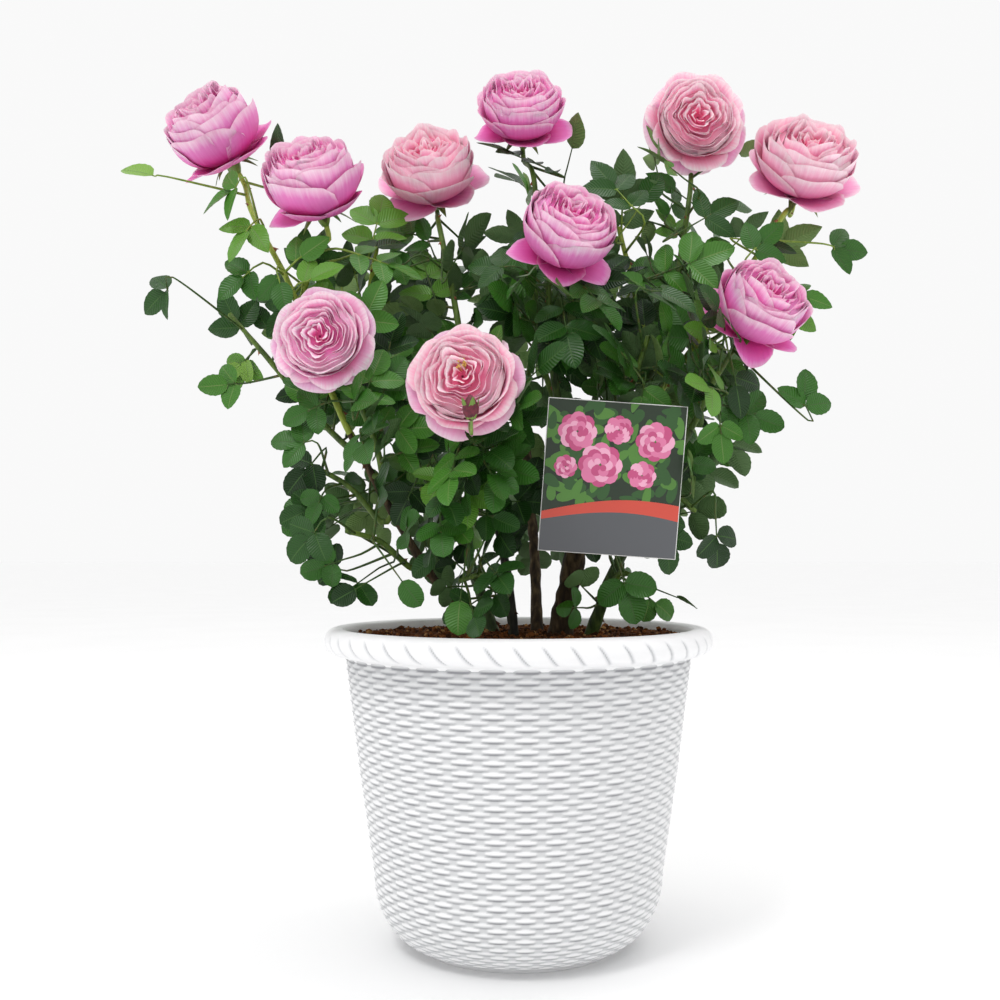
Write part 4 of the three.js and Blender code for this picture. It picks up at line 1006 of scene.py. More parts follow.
def turned_grid(radii, heights, relief):
    """Points of a surface of revolution with relief: radii and heights by row, relief by row and column."""
    angles = turns(relief.shape[1])
    r = np.asarray(radii)[:, None] + relief
    z = np.broadcast_to(np.asarray(heights, float)[:, None], r.shape)
    return np.stack([r * np.cos(angles), r * np.sin(angles), z], -1)


def bark(rng, seams, lumps, seam_depth, lump_depth):
    """A relief over the angle round a cane and the way along it: lengthwise seams broken up by lumps."""
    waves = []
    for _ in range(seams):
        waves.append((seam_depth, rng.integers(3, 11), rng.uniform(-0.05, 0.05), rng.uniform(*ANY_ANGLE)))
    for _ in range(lumps):
        times_round = rng.integers(0, 4)
        rate = rng.uniform(0.1, 0.5) * rng.choice([-1, 1])
        waves.append((lump_depth, times_round, rate, rng.uniform(*ANY_ANGLE)))

    def relief(angle, way):
        return sum(a * np.sin(n * angle + k * way + p) for a, n, k, p in waves) / math.sqrt(len(waves))

    return relief


def frames_along(line):
    """Directions of a line and a pair of sides that turn with it as little as they can."""
    line = np.asarray(line, float)
    d = np.gradient(line, axis=0)
    d /= np.linalg.norm(d, axis=1)[:, None]
    side = np.zeros_like(d)
    side[0] = any_side(tuple(d[0]))
    for i in range(1, len(d)):
        s = side[i - 1] - d[i] * (side[i - 1] @ d[i])
        side[i] = s / np.linalg.norm(s)
    return d, side, np.cross(d, side)


# A tube's rounded end in radii, its UV length for each millimetre, and the UV corners of the faces of its ends
END_DOME = 0.6
TUBE_STRETCH = 0.01
CAP_SPOTS = [[0.01, 0.01], [0.02, 0.01], [0.01, 0.02]]


def tube(out, line, radii, sides, slot=0, relief=None):
    """A closed tube along a line, with relief in its wall where there is any."""
    line = np.asarray(line, float)
    radii = np.broadcast_to(np.asarray(radii, float), len(line))
    d, side, other = frames_along(line)
    way, angle = way_along(line), turns(sides)
    r = radii[:, None] * np.ones(sides)
    if relief is not None:
        r = r + relief(angle[None], way[:, None])
    ring = np.cos(angle)[None, :, None] * side[:, None] + np.sin(angle)[None, :, None] * other[:, None]
    points = line[:, None] + r[..., None] * ring
    ends = np.stack([line[0], line[-1] + d[-1] * radii[-1] * END_DOME])
    spots = grid_spots(np.arange(sides + 1) / sides, way * TUBE_STRETCH)
    start = out.put(np.concatenate([points.reshape(-1, 3), ends]), grid(len(line), sides, True), spots, slot)
    foot = len(line) * sides
    first = [[(i + 1) % sides, i, foot] for i in range(sides)]
    last = [[foot - sides + i, foot - sides + (i + 1) % sides, foot + 1] for i in range(sides)]
    out.put_faces(np.array(first + last) + start, np.tile(CAP_SPOTS, (2 * sides, 1)), slot)


def shell(out, sheet, thickness, spots_top, spots_under, slot_top, slot_under):
    """A thin closed form over grids of points (n, rows, columns, 3), its edges shared by both faces."""
    n, rows, columns, _ = sheet.shape
    a, b = np.gradient(sheet, axis=1), np.gradient(sheet, axis=2)
    normal = np.cross(b, a)
    normal /= np.maximum(np.linalg.norm(normal, axis=-1), 1e-9)[..., None]
    under = sheet - normal * thickness
    inner = under[:, 1:-1, 1:-1].reshape(n, -1, 3)
    top = sheet.reshape(n, -1, 3)
    points = np.concatenate([top, inner], 1)
    each = points.shape[1]
    faces = grid(rows, columns)
    lower = np.arange(rows * columns).reshape(rows, columns)
    lower[1:-1, 1:-1] = rows * columns + np.arange((rows - 2) * (columns - 2)).reshape(rows - 2, columns - 2)
    turned_over = lower.ravel()[faces][:, ::-1]
    shift = (np.arange(n) * each)[:, None, None]
    both = np.concatenate([faces[None] + shift, turned_over[None] + shift], 1).reshape(-1, 4)
    m = len(faces)
    top_spots = np.broadcast_to(spots_top, (n, m, 4, 2))
    under_spots = np.broadcast_to(spots_under, (n, m, 4, 2))[:, :, ::-1]
    spots = np.concatenate([top_spots, under_spots], 1).reshape(-1, 2)
    slots = np.concatenate([np.broadcast_to(slot_top, (n, m)), np.broadcast_to(slot_under, (n, m))], 1).ravel()
    out.put(points.reshape(-1, 3), both, spots, slots)


# Materials
def linear(rgb):
    """Scene-linear colour from the 0 to 255 values that a screen shows."""
    return tuple(c / 12.92 if c <= 0.04045 else ((c + 0.055) / 1.055) ** 2.4 for c in (v / 255 for v in rgb)) + (1,)


class Finish:
    """A material and short ways to add its nodes."""

    def __init__(self, name, roughness, **constants):
        self.material = bpy.data.materials.new(name)
        self.material.use_nodes = True
        self.nodes = self.material.node_tree.nodes
        self.links = self.material.node_tree.links
        self.shader = next(n for n in self.nodes if n.type == "BSDF_PRINCIPLED")
        self.shader.inputs["Roughness"].default_value = roughness
        for socket, value in constants.items():
            self.shader.inputs[socket.replace("_", " ")].default_value = value

    def node(self, kind, **inputs):
        made = self.nodes.new("ShaderNode" + kind)
        for socket, value in inputs.items():
            self.join(value, made.inputs[socket.replace("_", " ")])
        return made

    def join(self, value, socket):
        if isinstance(value, bpy.types.NodeSocket):
            self.links.new(value, socket)
        else:
            socket.default_value = value

    def math(self, operation, a, b=0.0):
        made = self.nodes.new("ShaderNodeMath")
        made.operation = operation
        self.join(a, made.inputs[0])
        self.join(b, made.inputs[1])
        return made.outputs[0]

    def noise(self, vector, size, detail=3.0):
        return self.node("TexNoise", Vector=vector, Scale=size, Detail=detail).outputs["Fac"]

    def ramp(self, factor, stops):
        made = self.nodes.new("ShaderNodeValToRGB")
        self.join(factor, made.inputs["Fac"])
        elements = made.color_ramp.elements
        while len(elements) < len(stops):
            elements.new(0.5)
        for element, (place, rgb) in zip(elements, stops):
            element.position = place
            element.color = linear(rgb)
        return made.outputs["Color"]

    def blend(self, factor, a, b):
        made = self.nodes.new("ShaderNodeMix")
        made.data_type = "RGBA"
        for value, socket in ((factor, "Factor_Float"), (a, "A_Color"), (b, "B_Color")):
            self.join(value, next(s for s in made.inputs if s.identifier == socket))
        return next(s for s in made.outputs if s.identifier == "Result_Color")

    def uneven_gloss(self, size, low, high):
        spread = self.node("MapRange", Value=self.noise(self.place(), size), To_Min=low, To_Max=high)
        self.links.new(spread.outputs["Result"], self.shader.inputs["Roughness"])

    def bump(self, height, strength, distance):
        made = self.node("Bump", Height=height, Strength=strength, Distance=distance)
        self.links.new(made.outputs["Normal"], self.shader.inputs["Normal"])

    def grain(self, size, strength, distance, detail=3.0):
        """Fine relief the same in every direction."""
        self.bump(self.noise(self.place(), size, detail), strength, distance)

    def colour(self, value):
        self.join(value, self.shader.inputs["Base Color"])

    def place(self):
        return self.node("TexCoord").outputs["Object"]

    def spot(self):
        return self.node("UVMap").outputs["UV"]

    # Reads the painted light and shade kept on the points
    def painted_light_value(self):
        made = self.nodes.new("ShaderNodeAttribute")
        made.attribute_name = "height_of_relief"
        return made.outputs["Fac"]


def plain(name, rgb, roughness, specular, grain):
    """One plain colour with a grain: its size, strength and depth."""
    finish = Finish(name, roughness, Specular_IOR_Level=specular)
    finish.colour(linear(rgb))
    finish.grain(*grain)
    return finish


# How far a leaf's side veins lean towards its tip, and how many there are, as the rate of a sine
VEIN_LEAN = 0.5
VEIN_RATE = 75.0


def green(name, rgb, roughness=0.34, veined=True):
    """A leaf's green: one plain colour with an uneven gloss and fine side veins. A rib has no veins."""
    finish = Finish(name, roughness, Specular_IOR_Level=0.32)
    finish.colour(linear(rgb))
    finish.uneven_gloss(160, roughness - 0.1, roughness + 0.08)
    if veined:
        spot = finish.node("SeparateXYZ", Vector=finish.spot()).outputs
        aside = finish.math("ABSOLUTE", finish.math("SUBTRACT", spot["X"], 0.5))
        level = finish.math("SUBTRACT", spot["Y"], finish.math("MULTIPLY", aside, VEIN_LEAN))
        finish.bump(finish.math("SINE", finish.math("MULTIPLY", level, VEIN_RATE)), 0.45, 0.0003)
    return finish.material


# The pot
def wall_radius(z):
    """Radius of the pot's wall at a height, as in its solid."""
    z = np.asarray(z, float)
    share = np.clip((POT["curve_top"] - z) / POT["curve_height"], 0, 1)
    low = POT["curve_radius"] - POT["curve_width"] * (1 - np.sqrt(1 - share * share))
    middle = (POT["curve_top"] + POT["wall_top"]) / 2
    waist = (POT["curve_radius"] + POT["wall_top_radius"]) / 2 + POT["bulge"]
    levels = [POT["curve_top"], middle, POT["wall_top"]]
    high = np.interp(z, levels, [POT["curve_radius"], waist, POT["wall_top_radius"]])
    return np.where(z < POT["curve_top"], low, high)


# The weave. A strand shows until it passes behind a stake, grows wider and higher in front of the next one, and
# leans down. Every other strand stands lower. Lengths across a strand are in its own height.
WEAVE = {
    "columns": 350, "rows_each": 4, "from": 4.2, "above_wall": 4.4, "shown": 0.84, "shoulder": 0.34,
    "half_width": 0.26, "wider": 0.22, "lean": 0.4, "low_strand": 0.7, "blunt": 0.7, "height": 1.3,
    "stake_height": 0.12,
}
# Painted light and shade on the plastic, from 0 in the depth of the relief to 1: its middle, and how much the
# height of the relief (painted shade in its hollows), its slope (painted light from above) and the painted shadow
# under the rim change it, with how far that shadow reaches down
WALL_PAINTED_LIGHT = {"middle": 0.46, "height": 0.1, "slope": 0.7, "rim": 0.3, "rim_reach": 14}
WALL_SAMPLES = 1200
# The wall's inside: a row for every so many of the outside, and how far it stands clear of the solid's face
INSIDE = {"every": 26, "clear": 0.6}
# Where the rows of the pot's parts start in the UV square, and how far they reach
WALL_ROWS, INSIDE_ROWS, LAST_ROW, FOOT_ROWS = (0.02, 0.8), (0.84, 0.08), 0.93, (0.94, 0.05)
FOOT_COLUMNS = 120


def woven(u, v):
    """Height of the weave: each strand swells in front of every other stake, more so on the stakes between."""
    row = np.floor(v)
    best = np.zeros(np.broadcast(u, v).shape)
    for k in (row - 1, row, row + 1):
        rise = np.clip((WEAVE["shown"] - np.abs((u + k + 1) % 2 - 1)) / WEAVE["shoulder"], 0, 1)
        bulge = rise * rise * (3 - 2 * rise)
        across = (v - k - 0.5) / (WEAVE["half_width"] + WEAVE["wider"] * bulge)
        section = np.clip(1 - np.abs(across) ** 3, 0, None) * (1 - WEAVE["lean"] * across)
        height = np.where(k % 2, 1.0, WEAVE["low_strand"])
        best = np.maximum(best, height * bulge ** WEAVE["blunt"] * section)
    return best


def put_wall(body):
    """The woven wall and its plain inside, with painted light and shade at each place of the relief: darker in its
    hollows, on its downward slopes and under the rim, lighter on its crests and upward slopes.
    """
    columns, rows_each = WEAVE["columns"], WEAVE["rows_each"]
    heights = np.linspace(WEAVE["from"], POT["wall_top"] + WEAVE["above_wall"], WALL_SAMPLES)
    way = np.concatenate([[0], np.cumsum(np.hypot(np.diff(heights), np.diff(wall_radius(heights))))])
    v = np.arange(STRANDS * rows_each + 1) / rows_each
    z = np.interp(v / STRANDS * way[-1], way, heights)
    u = np.arange(columns) * STAKES / columns
    stakes = WEAVE["stake_height"] * np.cos(2 * np.pi * u[None])
    relief = WEAVE["height"] * woven(u[None], v[:, None]) + stakes - WEAVE_DEPTH
    outside = turned_grid(wall_radius(z), z, relief)
    inner_z = z[::-INSIDE["every"]]
    rows = len(inner_z)
    inside = turned_grid(wall_radius(inner_z) - POT["wall"] - INSIDE["clear"], inner_z, np.zeros((rows, columns)))
    whole = np.concatenate([outside, inside, outside[:1]])
    places = np.concatenate([v / STRANDS * WALL_ROWS[1] + WALL_ROWS[0],
                             INSIDE_ROWS[0] + INSIDE_ROWS[1] * np.arange(rows) / rows, [LAST_ROW]])
    # Painted shadow under the rim, fading downwards
    shade = WALL_PAINTED_LIGHT["rim"] * np.exp((z[:, None] - heights[-1]) / WALL_PAINTED_LIGHT["rim_reach"])
    # Painted shade: darker in the hollows of the relief, lighter on its crests
    light = WALL_PAINTED_LIGHT["middle"] + WALL_PAINTED_LIGHT["height"] * (relief + WEAVE_DEPTH)
    # Painted light from above: downward slopes darker, upward ones lighter; then the painted shadow under the rim
    light = light - WALL_PAINTED_LIGHT["slope"] * np.gradient(relief, axis=0) - shade
    lit = np.ones((len(whole), columns))
    lit[:len(outside)] = np.clip(light, 0, 1)
    body.put(whole, grid(len(whole), columns, True), grid_spots(np.arange(columns + 1) / columns, places), 0, lit)


def put_foot(body):
    """The pot's underside: the pad, the recess round it, the foot ring and the floor inside."""
    foot = [(0.01, 0), (POT["pad_radius"], 0), (POT["pad_radius"] + 2, POT["recess"]),
            (POT["recess_radius"] - 2, POT["recess"]), (POT["recess_radius"], 0), (POT["foot_radius"] - 1, 0),
            (POT["foot_radius"], 0.6), (POT["foot_radius"] + 0.5, POT["foot_height"]), (86.2, 4.3), (84, 6.4),
            (70, POT["floor"] + 0.4), (0.01, POT["floor"] + 0.4)]
    r, h = zip(*foot)
    rows = len(foot)
    places = FOOT_ROWS[0] + FOOT_ROWS[1] * np.arange(rows) / rows
    body.put(turned_grid(r, h, np.zeros((rows, FOOT_COLUMNS))), grid(rows, FOOT_COLUMNS, True),
             grid_spots(np.arange(FOOT_COLUMNS + 1) / FOOT_COLUMNS, places))


# The rolled rim: the middle and radius of its roll, and the radii and heights of the rows before and after it
ROLL = {"radius": 147.6, "height": 246.55, "round": 10.35, "from": -72, "to": 88, "rows": 23}
BEFORE_ROLL = ([140.2, 143.4, 147.4], [234.9, 235.3, 235.7])
AFTER_ROLL = ([143.6, 140.4, 139.6, 138.6, 138.2], [256.6, 255.4, 252.4, 240, 230.5])
# Their angles on the roll, just past its ends, where there are no notches
PAST_ROLL = (-1.3, 1.5)
RIM_ROWS = (0.02, 0.96)
# Its rope: columns to a turn, how far a turn leans over the roll, where the notches fade out at the top and
# start at the foot, how deep the round between notches and a notch go, how wide a notch is, and the depth at
# which the painted shade of the notches is darkest
ROPE = {"columns": 16, "lean": 0.33, "fade_to": 52, "fade": 34, "start": 1.29, "start_over": 0.12, "round": 0.9,
        "notch": 1.2, "notch_width": 0.11, "deepest": 2.3}


def put_rim(rim):
    """The rolled rim with the oblique notches of a rope, and painted shade that darkens the deeper a place lies."""
    columns = ROPE_TURNS * ROPE["columns"]
    arc = np.radians(np.linspace(ROLL["from"], ROLL["to"], ROLL["rows"]))
    r = np.concatenate([BEFORE_ROLL[0], ROLL["radius"] + ROLL["round"] * np.cos(arc), AFTER_ROLL[0]])
    h = np.concatenate([BEFORE_ROLL[1], ROLL["height"] + ROLL["round"] * np.sin(arc), AFTER_ROLL[1]])
    angle = np.concatenate([[PAST_ROLL[0]] * len(BEFORE_ROLL[0]), arc, [PAST_ROLL[1]] * len(AFTER_ROLL[0])])
    fade = np.clip((np.radians(ROPE["fade_to"]) - angle) / np.radians(ROPE["fade"]), 0, 1)
    fade = fade * np.clip((angle + ROPE["start"]) / ROPE["start_over"], 0, 1)
    turn = np.arange(columns) / ROPE["columns"]
    off_crest = np.abs(2 * ((turn[None] + ROPE["lean"] * angle[:, None]) % 1) - 1)
    notch = ROPE["notch"] * np.exp(-((1 - off_crest) / ROPE["notch_width"]) ** 2)
    depth = fade[:, None] * (ROPE["round"] * off_crest ** 2 + notch)
    ring_r = r[:, None] - depth * np.cos(angle)[:, None]
    ring_h = h[:, None] - depth * np.sin(angle)[:, None]
    around = turns(columns)
    points = np.stack([ring_r * np.cos(around), ring_r * np.sin(around), ring_h], -1)
    points = np.concatenate([points, points[:1]])
    rows = len(points)
    # Painted shade: darker the deeper a place of the rope lies, fully dark at the fully shaded depth
    lit = np.concatenate([1 - depth / ROPE["deepest"], np.ones((1, columns))])
    places = np.arange(rows) / rows * RIM_ROWS[1] + RIM_ROWS[0]
    rim.put(points, grid(rows, columns, True), grid_spots(np.arange(columns + 1) / columns, places), 0, lit)


# Greys of the wall and of the rim, from painted shade to painted light
POT_PAINTED_SHADE_GREYS = [(0, (140, 141, 145)), (0.35, (200, 201, 203)), (0.6, (219, 220, 221)), (0.85, (243, 243, 244))]
RIM_PAINTED_SHADE_GREYS = [(0, (150, 152, 156)), (0.4, (222, 223, 225)), (0.8, (242, 242, 243))]


def make_pot():
    body, rim = Gathered(), Gathered()
    put_wall(body)
    put_foot(body)
    put_rim(rim)
    wall = Finish("pot_plastic", 0.48, Specular_IOR_Level=0.45)
    # The wall's and the rim's colours are their painted light and shade in greys
    wall.colour(wall.ramp(wall.painted_light_value(), POT_PAINTED_SHADE_GREYS))
    wall.grain(1400, 0.2, 0.0003)
    rope = Finish("pot_rim_plastic", 0.42, Specular_IOR_Level=0.5)
    rope.colour(rope.ramp(rope.painted_light_value(), RIM_PAINTED_SHADE_GREYS))
    rope.grain(1100, 0.12, 0.0002)
    make_piece("pot_body", body, [wall.material], ["pot"])
    make_piece("pot_rim", rim, [rope.material], ["pot"])


def lump_form():
    """A twelve-cornered lump and its faces."""
    g = (1 + math.sqrt(5)) / 2
    corners = [(-1, g, 0), (1, g, 0), (-1, -g, 0), (1, -g, 0), (0, -1, g), (0, 1, g), (0, -1, -g), (0, 1, -g),
               (g, 0, -1), (g, 0, 1), (-g, 0, -1), (-g, 0, 1)]
    faces = [(0, 11, 5), (0, 5, 1), (0, 1, 7), (0, 7, 10), (0, 10, 11), (1, 5, 9), (5, 11, 4), (11, 10, 2),
             (10, 7, 6), (7, 1, 8), (3, 9, 4), (3, 4, 2), (3, 2, 6), (3, 6, 8), (3, 8, 9), (4, 9, 5), (2, 4, 11),
             (6, 2, 10), (8, 6, 7), (9, 8, 1)]
    return np.array([unit(c) for c in corners]), np.array(faces)


def soil_level(x, y):
    """Height of the soil's uneven top."""
    return SOIL_TOP - 0.4 + 0.8 * np.sin(x * 0.11 + 1) * np.cos(y * 0.13) + 0.5 * np.sin(x * 0.31 + y * 0.27)


SOIL = {"columns": 160, "rows": 46, "radius": 137.2, "roughness": 0.35}
# The unseen outside and underside of the mix: radii and heights of its rows
SOIL_SKIRT = ([136.9, 113, 95, 75, 0.01], [236, 62, 26, 7.5, 7.5])
SOIL_BROWNS = [(0.3, (56, 30, 12)), (0.55, (102, 58, 24)), (0.75, (138, 84, 40))]
# Crumbs: how many, within what radius, their least size and how much more, stretch and roughness
CRUMBS = {"count": 2600, "within": 136, "size": (0.7, 1.9), "lift": 0.25, "stretch": (0.6, 1.3), "rough": 0.22}
CRUMB_TONES = {"brown": (92, 51, 22), "dark": (56, 32, 15), "bark": (128, 77, 38), "fibre": (172, 130, 82)}
CRUMB_SHARES = [0.42, 0.3, 0.2, 0.08]


def make_soil():
    rng = np.random.default_rng(41)
    columns, around = SOIL["columns"], turns(SOIL["columns"])
    radii = np.linspace(0.01, SOIL["radius"], SOIL["rows"])
    x, y = radii[:, None] * np.cos(around), radii[:, None] * np.sin(around)
    top = np.stack([x, y, soil_level(x, y) + rng.normal(0, SOIL["roughness"], x.shape)], -1)
    skirt = turned_grid(*SOIL_SKIRT, np.zeros((len(SOIL_SKIRT[0]), columns)))
    rows = np.concatenate([top, skirt])[::-1]
    mix_body = Gathered()
    mix_body.put(rows, grid(len(rows), columns, True))
    finish = Finish("soil_mix", 0.95, Specular_IOR_Level=0.15)
    finish.colour(finish.ramp(finish.noise(finish.place(), 420, 6.0), SOIL_BROWNS))
    finish.grain(700, 0.9, 0.0015, 6.0)
    make_piece("soil_mix", mix_body, [finish.material], ["soil"])

    form, faces = lump_form()
    count = CRUMBS["count"]
    r, a = CRUMBS["within"] * np.sqrt(rng.random(count)), rng.uniform(0, 2 * np.pi, count)
    x, y = r * np.cos(a), r * np.sin(a)
    size = CRUMBS["size"][0] + CRUMBS["size"][1] * rng.random(count) ** 3
    centre = np.stack([x, y, soil_level(x, y) + CRUMBS["lift"] * size], -1)
    stretch = rng.uniform(*CRUMBS["stretch"], (count, 1, 3))
    rough = 1 + rng.uniform(-CRUMBS["rough"], CRUMBS["rough"], (count, len(form), 1))
    points = centre[:, None] + size[:, None, None] * form[None] * stretch * rough
    tone = rng.choice(len(CRUMB_SHARES), count, p=CRUMB_SHARES)
    each = (faces[None] + len(form) * np.arange(count)[:, None, None]).reshape(-1, 3)
    crumbs = Gathered()
    crumbs.put(points, each, None, np.repeat(tone, len(faces)))
    tones = [plain("soil_crumb_" + name, rgb, 0.95, 0.15, (900, 0.6, 0.0008)).material
             for name, rgb in CRUMB_TONES.items()]
    make_piece("soil_crumbs", crumbs, tones, ["soil"], flat=True)


# Canes, stems and twigs
# A prickle's rings, each lying along the cane: their half length, half width, height and shift down the cane, then
# the height and shift of its point and how deep its root lies, all in its own size
PRICKLE = {"base": (1.3, 0.55), "neck": (0.45, 0.22), "neck_height": 0.9, "neck_shift": -0.2, "tip": (1.9, -0.9),
           "sunk": -0.6}
PRICKLE_SIDES = [[i, 6 + i, 6 + (i + 1) % 6, (i + 1) % 6] for i in range(6)]
PRICKLE_TIP = [[6 + i, 12, 6 + (i + 1) % 6] for i in range(6)]
PRICKLE_ROOT = [[i, (i + 1) % 6, 13] for i in range(6)]


def put_prickle(out, at, outward, way, size, slot):
    """One curved prickle on a long low base, its point turned down the cane."""
    side = cross(outward, way)

    def ring(middle, half_long, half_wide, shift):
        return [along(along(middle, way, half_long * size * math.cos(a) + shift * size), side,
                      half_wide * size * math.sin(a)) for a in np.arange(6) * math.pi / 3]

    base = ring(at, *PRICKLE["base"], 0)
    neck = ring(along(at, outward, PRICKLE["neck_height"] * size), *PRICKLE["neck"], PRICKLE["neck_shift"])
    height, shift = PRICKLE["tip"]
    tip = along(along(at, outward, height * size), way, shift * size)
    foot = along(at, outward, PRICKLE["sunk"] * size)
    start = out.put([*base, *neck, tip, foot], PRICKLE_SIDES, None, slot)
    out.put_faces(np.array(PRICKLE_TIP + PRICKLE_ROOT) + start, None, slot)


UNEVEN_PRICKLES = {"first": (0.6, 1), "turn": (-0.4, 0.4), "sunk": 0.9, "size": (0.75, 1.2), "step": (0.6, 1.4)}


def put_prickles(out, line, radius_at, every, size, rng, slot):
    """Prickles along a stem at uneven steps, each turned on by the golden angle."""
    line = np.asarray(line, float)
    d, side, other = frames_along(line)
    way = way_along(line)
    place, k = every * rng.uniform(*UNEVEN_PRICKLES["first"]), 0
    while place < way[-1] - every:
        i = int(np.searchsorted(way, place))
        angle = GOLDEN_ANGLE * k + rng.uniform(*UNEVEN_PRICKLES["turn"])
        outward = side[i] * math.cos(angle) + other[i] * math.sin(angle)
        at = line[i] + outward * radius_at(place / way[-1]) * UNEVEN_PRICKLES["sunk"]
        own_size = size * rng.uniform(*UNEVEN_PRICKLES["size"])
        put_prickle(out, tuple(at), tuple(outward), tuple(d[i]), own_size, slot)
        place += every * rng.uniform(*UNEVEN_PRICKLES["step"])
        k += 1


def bark_finish(name, dark, middle, light, roughness):
    """Bark in three tones, in patches and relief that run lengthwise."""
    finish = Finish(name, roughness, Specular_IOR_Level=0.3)
    stretched = finish.node("Mapping", Vector=finish.place(), Scale=(1, 1, 0.25)).outputs["Vector"]
    finish.colour(finish.ramp(finish.noise(stretched, 260, 6.0), [(0.32, dark), (0.52, middle), (0.72, light)]))
    finish.bump(finish.noise(stretched, 700, 5.0), 0.6, 0.0012)
    return finish.material


# Each kind of bark: its colours, its roughness, the depths of its seams and lumps, and the colour of its prickles
BARKS = {
    "woody": ([(34, 25, 17), (66, 52, 34), (104, 88, 62)], 0.8, (0.42, 0.75), None),
    "green": ([(36, 52, 24), (62, 84, 38), (92, 112, 54)], 0.5, (0.14, 0.2), (96, 60, 46)),
    "dark": ([(16, 17, 12), (30, 32, 20), (58, 56, 36)], 0.55, (0.14, 0.2), (62, 40, 32)),
}
PRICKLE_BROWNS = [(70, 40, 30), (104, 72, 50), (134, 96, 66)]
CANE_STEP = 3
BELOW_FOOT = (0, 0, -5)
FLARE_RATE = 14
# Rings left by old leaves: where the first one lies, how far apart they are, their height in radii and their width
KNOTS = {"first": (18, 30), "every": 34, "height": 0.09, "width": 4.5}
THICK_FROM = 6
THICK_SIDES, THIN_SIDES = 40, 20
SEAMS, LUMPS = 5, 7
# How far apart prickles are and how large
CANE_PRICKLES = (17, 2.3)
STEM_PRICKLES = (26, 1.7)


def make_canes():
    rng = np.random.default_rng(17)
    for kind, (colours, roughness, relief_depth, prickle) in BARKS.items():
        out = Gathered()
        names = [name for name, limb in LIMBS.items() if limb["bark"] == kind]
        for name in names:
            limb, controls = LIMBS[name], limb_controls[name]
            line = smooth_line([add(controls[0], BELOW_FOOT), *controls], CANE_STEP)
            share = np.linspace(0, 1, len(line))
            flare = limb["flare"] * np.exp(-share * FLARE_RATE)
            radii = limb["foot"] + (limb["tip"] - limb["foot"]) * share + flare
            places = np.arange(len(line)) * CANE_STEP
            knots = np.zeros(len(line))
            for middle in np.arange(rng.uniform(*KNOTS["first"]), len(line) * CANE_STEP, KNOTS["every"]):
                knots += KNOTS["height"] * limb["foot"] * np.exp(-((places - middle) / KNOTS["width"]) ** 2)
            thick = limb["foot"] > THICK_FROM
            depth = relief_depth if thick else (relief_depth[0] * 0.5, relief_depth[1] * 0.4)
            sides = THICK_SIDES if thick else THIN_SIDES
            tube(out, line, radii + knots, sides, 0, bark(rng, SEAMS, LUMPS, *depth))
            if prickle or name == "cane_left":
                put_prickles(out, line, lambda t, cane=name: limb_radius(cane, t), *CANE_PRICKLES, rng, 1)
        dark, middle, light = PRICKLE_BROWNS
        materials = [bark_finish("bark_" + kind, *colours, roughness),
                     bark_finish("prickle_" + kind, dark, prickle or middle, light, 0.5)]
        make_piece("canes_" + kind, out, materials, names)


FRESH_SHOOTS = {"shoot_left_top", "shoot_far_right", "shoot_upper_left", "shoot_top_right"}
SHOOT_NAMES = [shoot["name"] for shoot in shoots]


STEM_STEP, STEM_SIDES = 5, 10
# A seen twig: the step of its line, its radius and how much thinner its end is, and the radius and places of a
# leaflet's own short stalk
SEEN_TWIG = {"step": 7, "radius": 1.2, "thinner": 0.7, "stalk_radius": 0.42, "stalk": (-1.6, 0, 1)}


def make_stems():
    rng = np.random.default_rng(23)
    out = Gathered()
    for shoot in shoots:
        tone = 0 if shoot["name"] in FRESH_SHOOTS else 1
        for stem in shoot["stems"]:
            line = smooth_line(stem["points"], STEM_STEP)
            share = np.linspace(0, 1, len(line))
            radii = stem["radius"] * 0.92 + (STEM["tip_radius"] - stem["radius"]) * share
            tube(out, line, radii, STEM_SIDES, tone, bark(rng, 2, 3, 0.06, 0.12))
            put_prickles(out, line, lambda t, r=stem["radius"]: r * 0.9 - 0.7 * t, *STEM_PRICKLES, rng, 2)
    materials = [bark_finish("stem_fresh", (128, 148, 52), (150, 170, 66), (176, 192, 92), 0.42),
                 bark_finish("stem_green", (58, 82, 30), (84, 110, 42), (112, 136, 58), 0.45),
                 bark_finish("stem_prickle", (110, 62, 44), (140, 84, 58), (168, 116, 82), 0.45)]
    make_piece("stems", out, materials, SHOOT_NAMES)


def make_twigs():
    out = Gathered()
    for name, leaves in zip(SHOOT_NAMES, shown_leaves):
        tone = 0 if name in FRESH_SHOOTS else 1
        for leaf in leaves:
            curve = smooth_line([*leaf["line"], leaf["end"]], SEEN_TWIG["step"])
            share = np.linspace(0, 1, len(curve))
            tube(out, curve, SEEN_TWIG["radius"] - SEEN_TWIG["thinner"] * share, 6, tone)
            for one in leaf["leaflets"][1:]:
                stalk = [along(one["root"], one["way"], step) for step in SEEN_TWIG["stalk"]]
                tube(out, stalk, SEEN_TWIG["stalk_radius"], 4, tone)
    materials = [bark_finish("twig_fresh", (96, 124, 44), (122, 148, 56), (146, 160, 78), 0.45),
                 bark_finish("twig_green", (44, 70, 26), (62, 92, 36), (96, 84, 48), 0.45)]
    make_piece("twigs", out, materials, SHOOT_NAMES)


# Leaves
class Blades:
    """Leaflets and sepals waiting to be made: where each starts, its directions, size and form."""

    def __init__(self):
        self.rows = []

    def put(self, root, direction, face, long, wide, low_power, high_power, fold, droop, tone):
        self.rows.append((*root, *direction, *face, long, wide, low_power, high_power, fold, droop, tone))


# A blade's columns from edge to edge, its rows, and how its rows crowd towards the tip
BLADE_ACROSS = np.array([-1, -0.55, -0.045, 0.045, 0.55, 1])
BLADE_STATIONS = 13
BLADE_CROWDING = 0.92
BLADE_THICKNESS = 0.42
LEAST_WIDTH = 0.02
TOOTH = 0.022
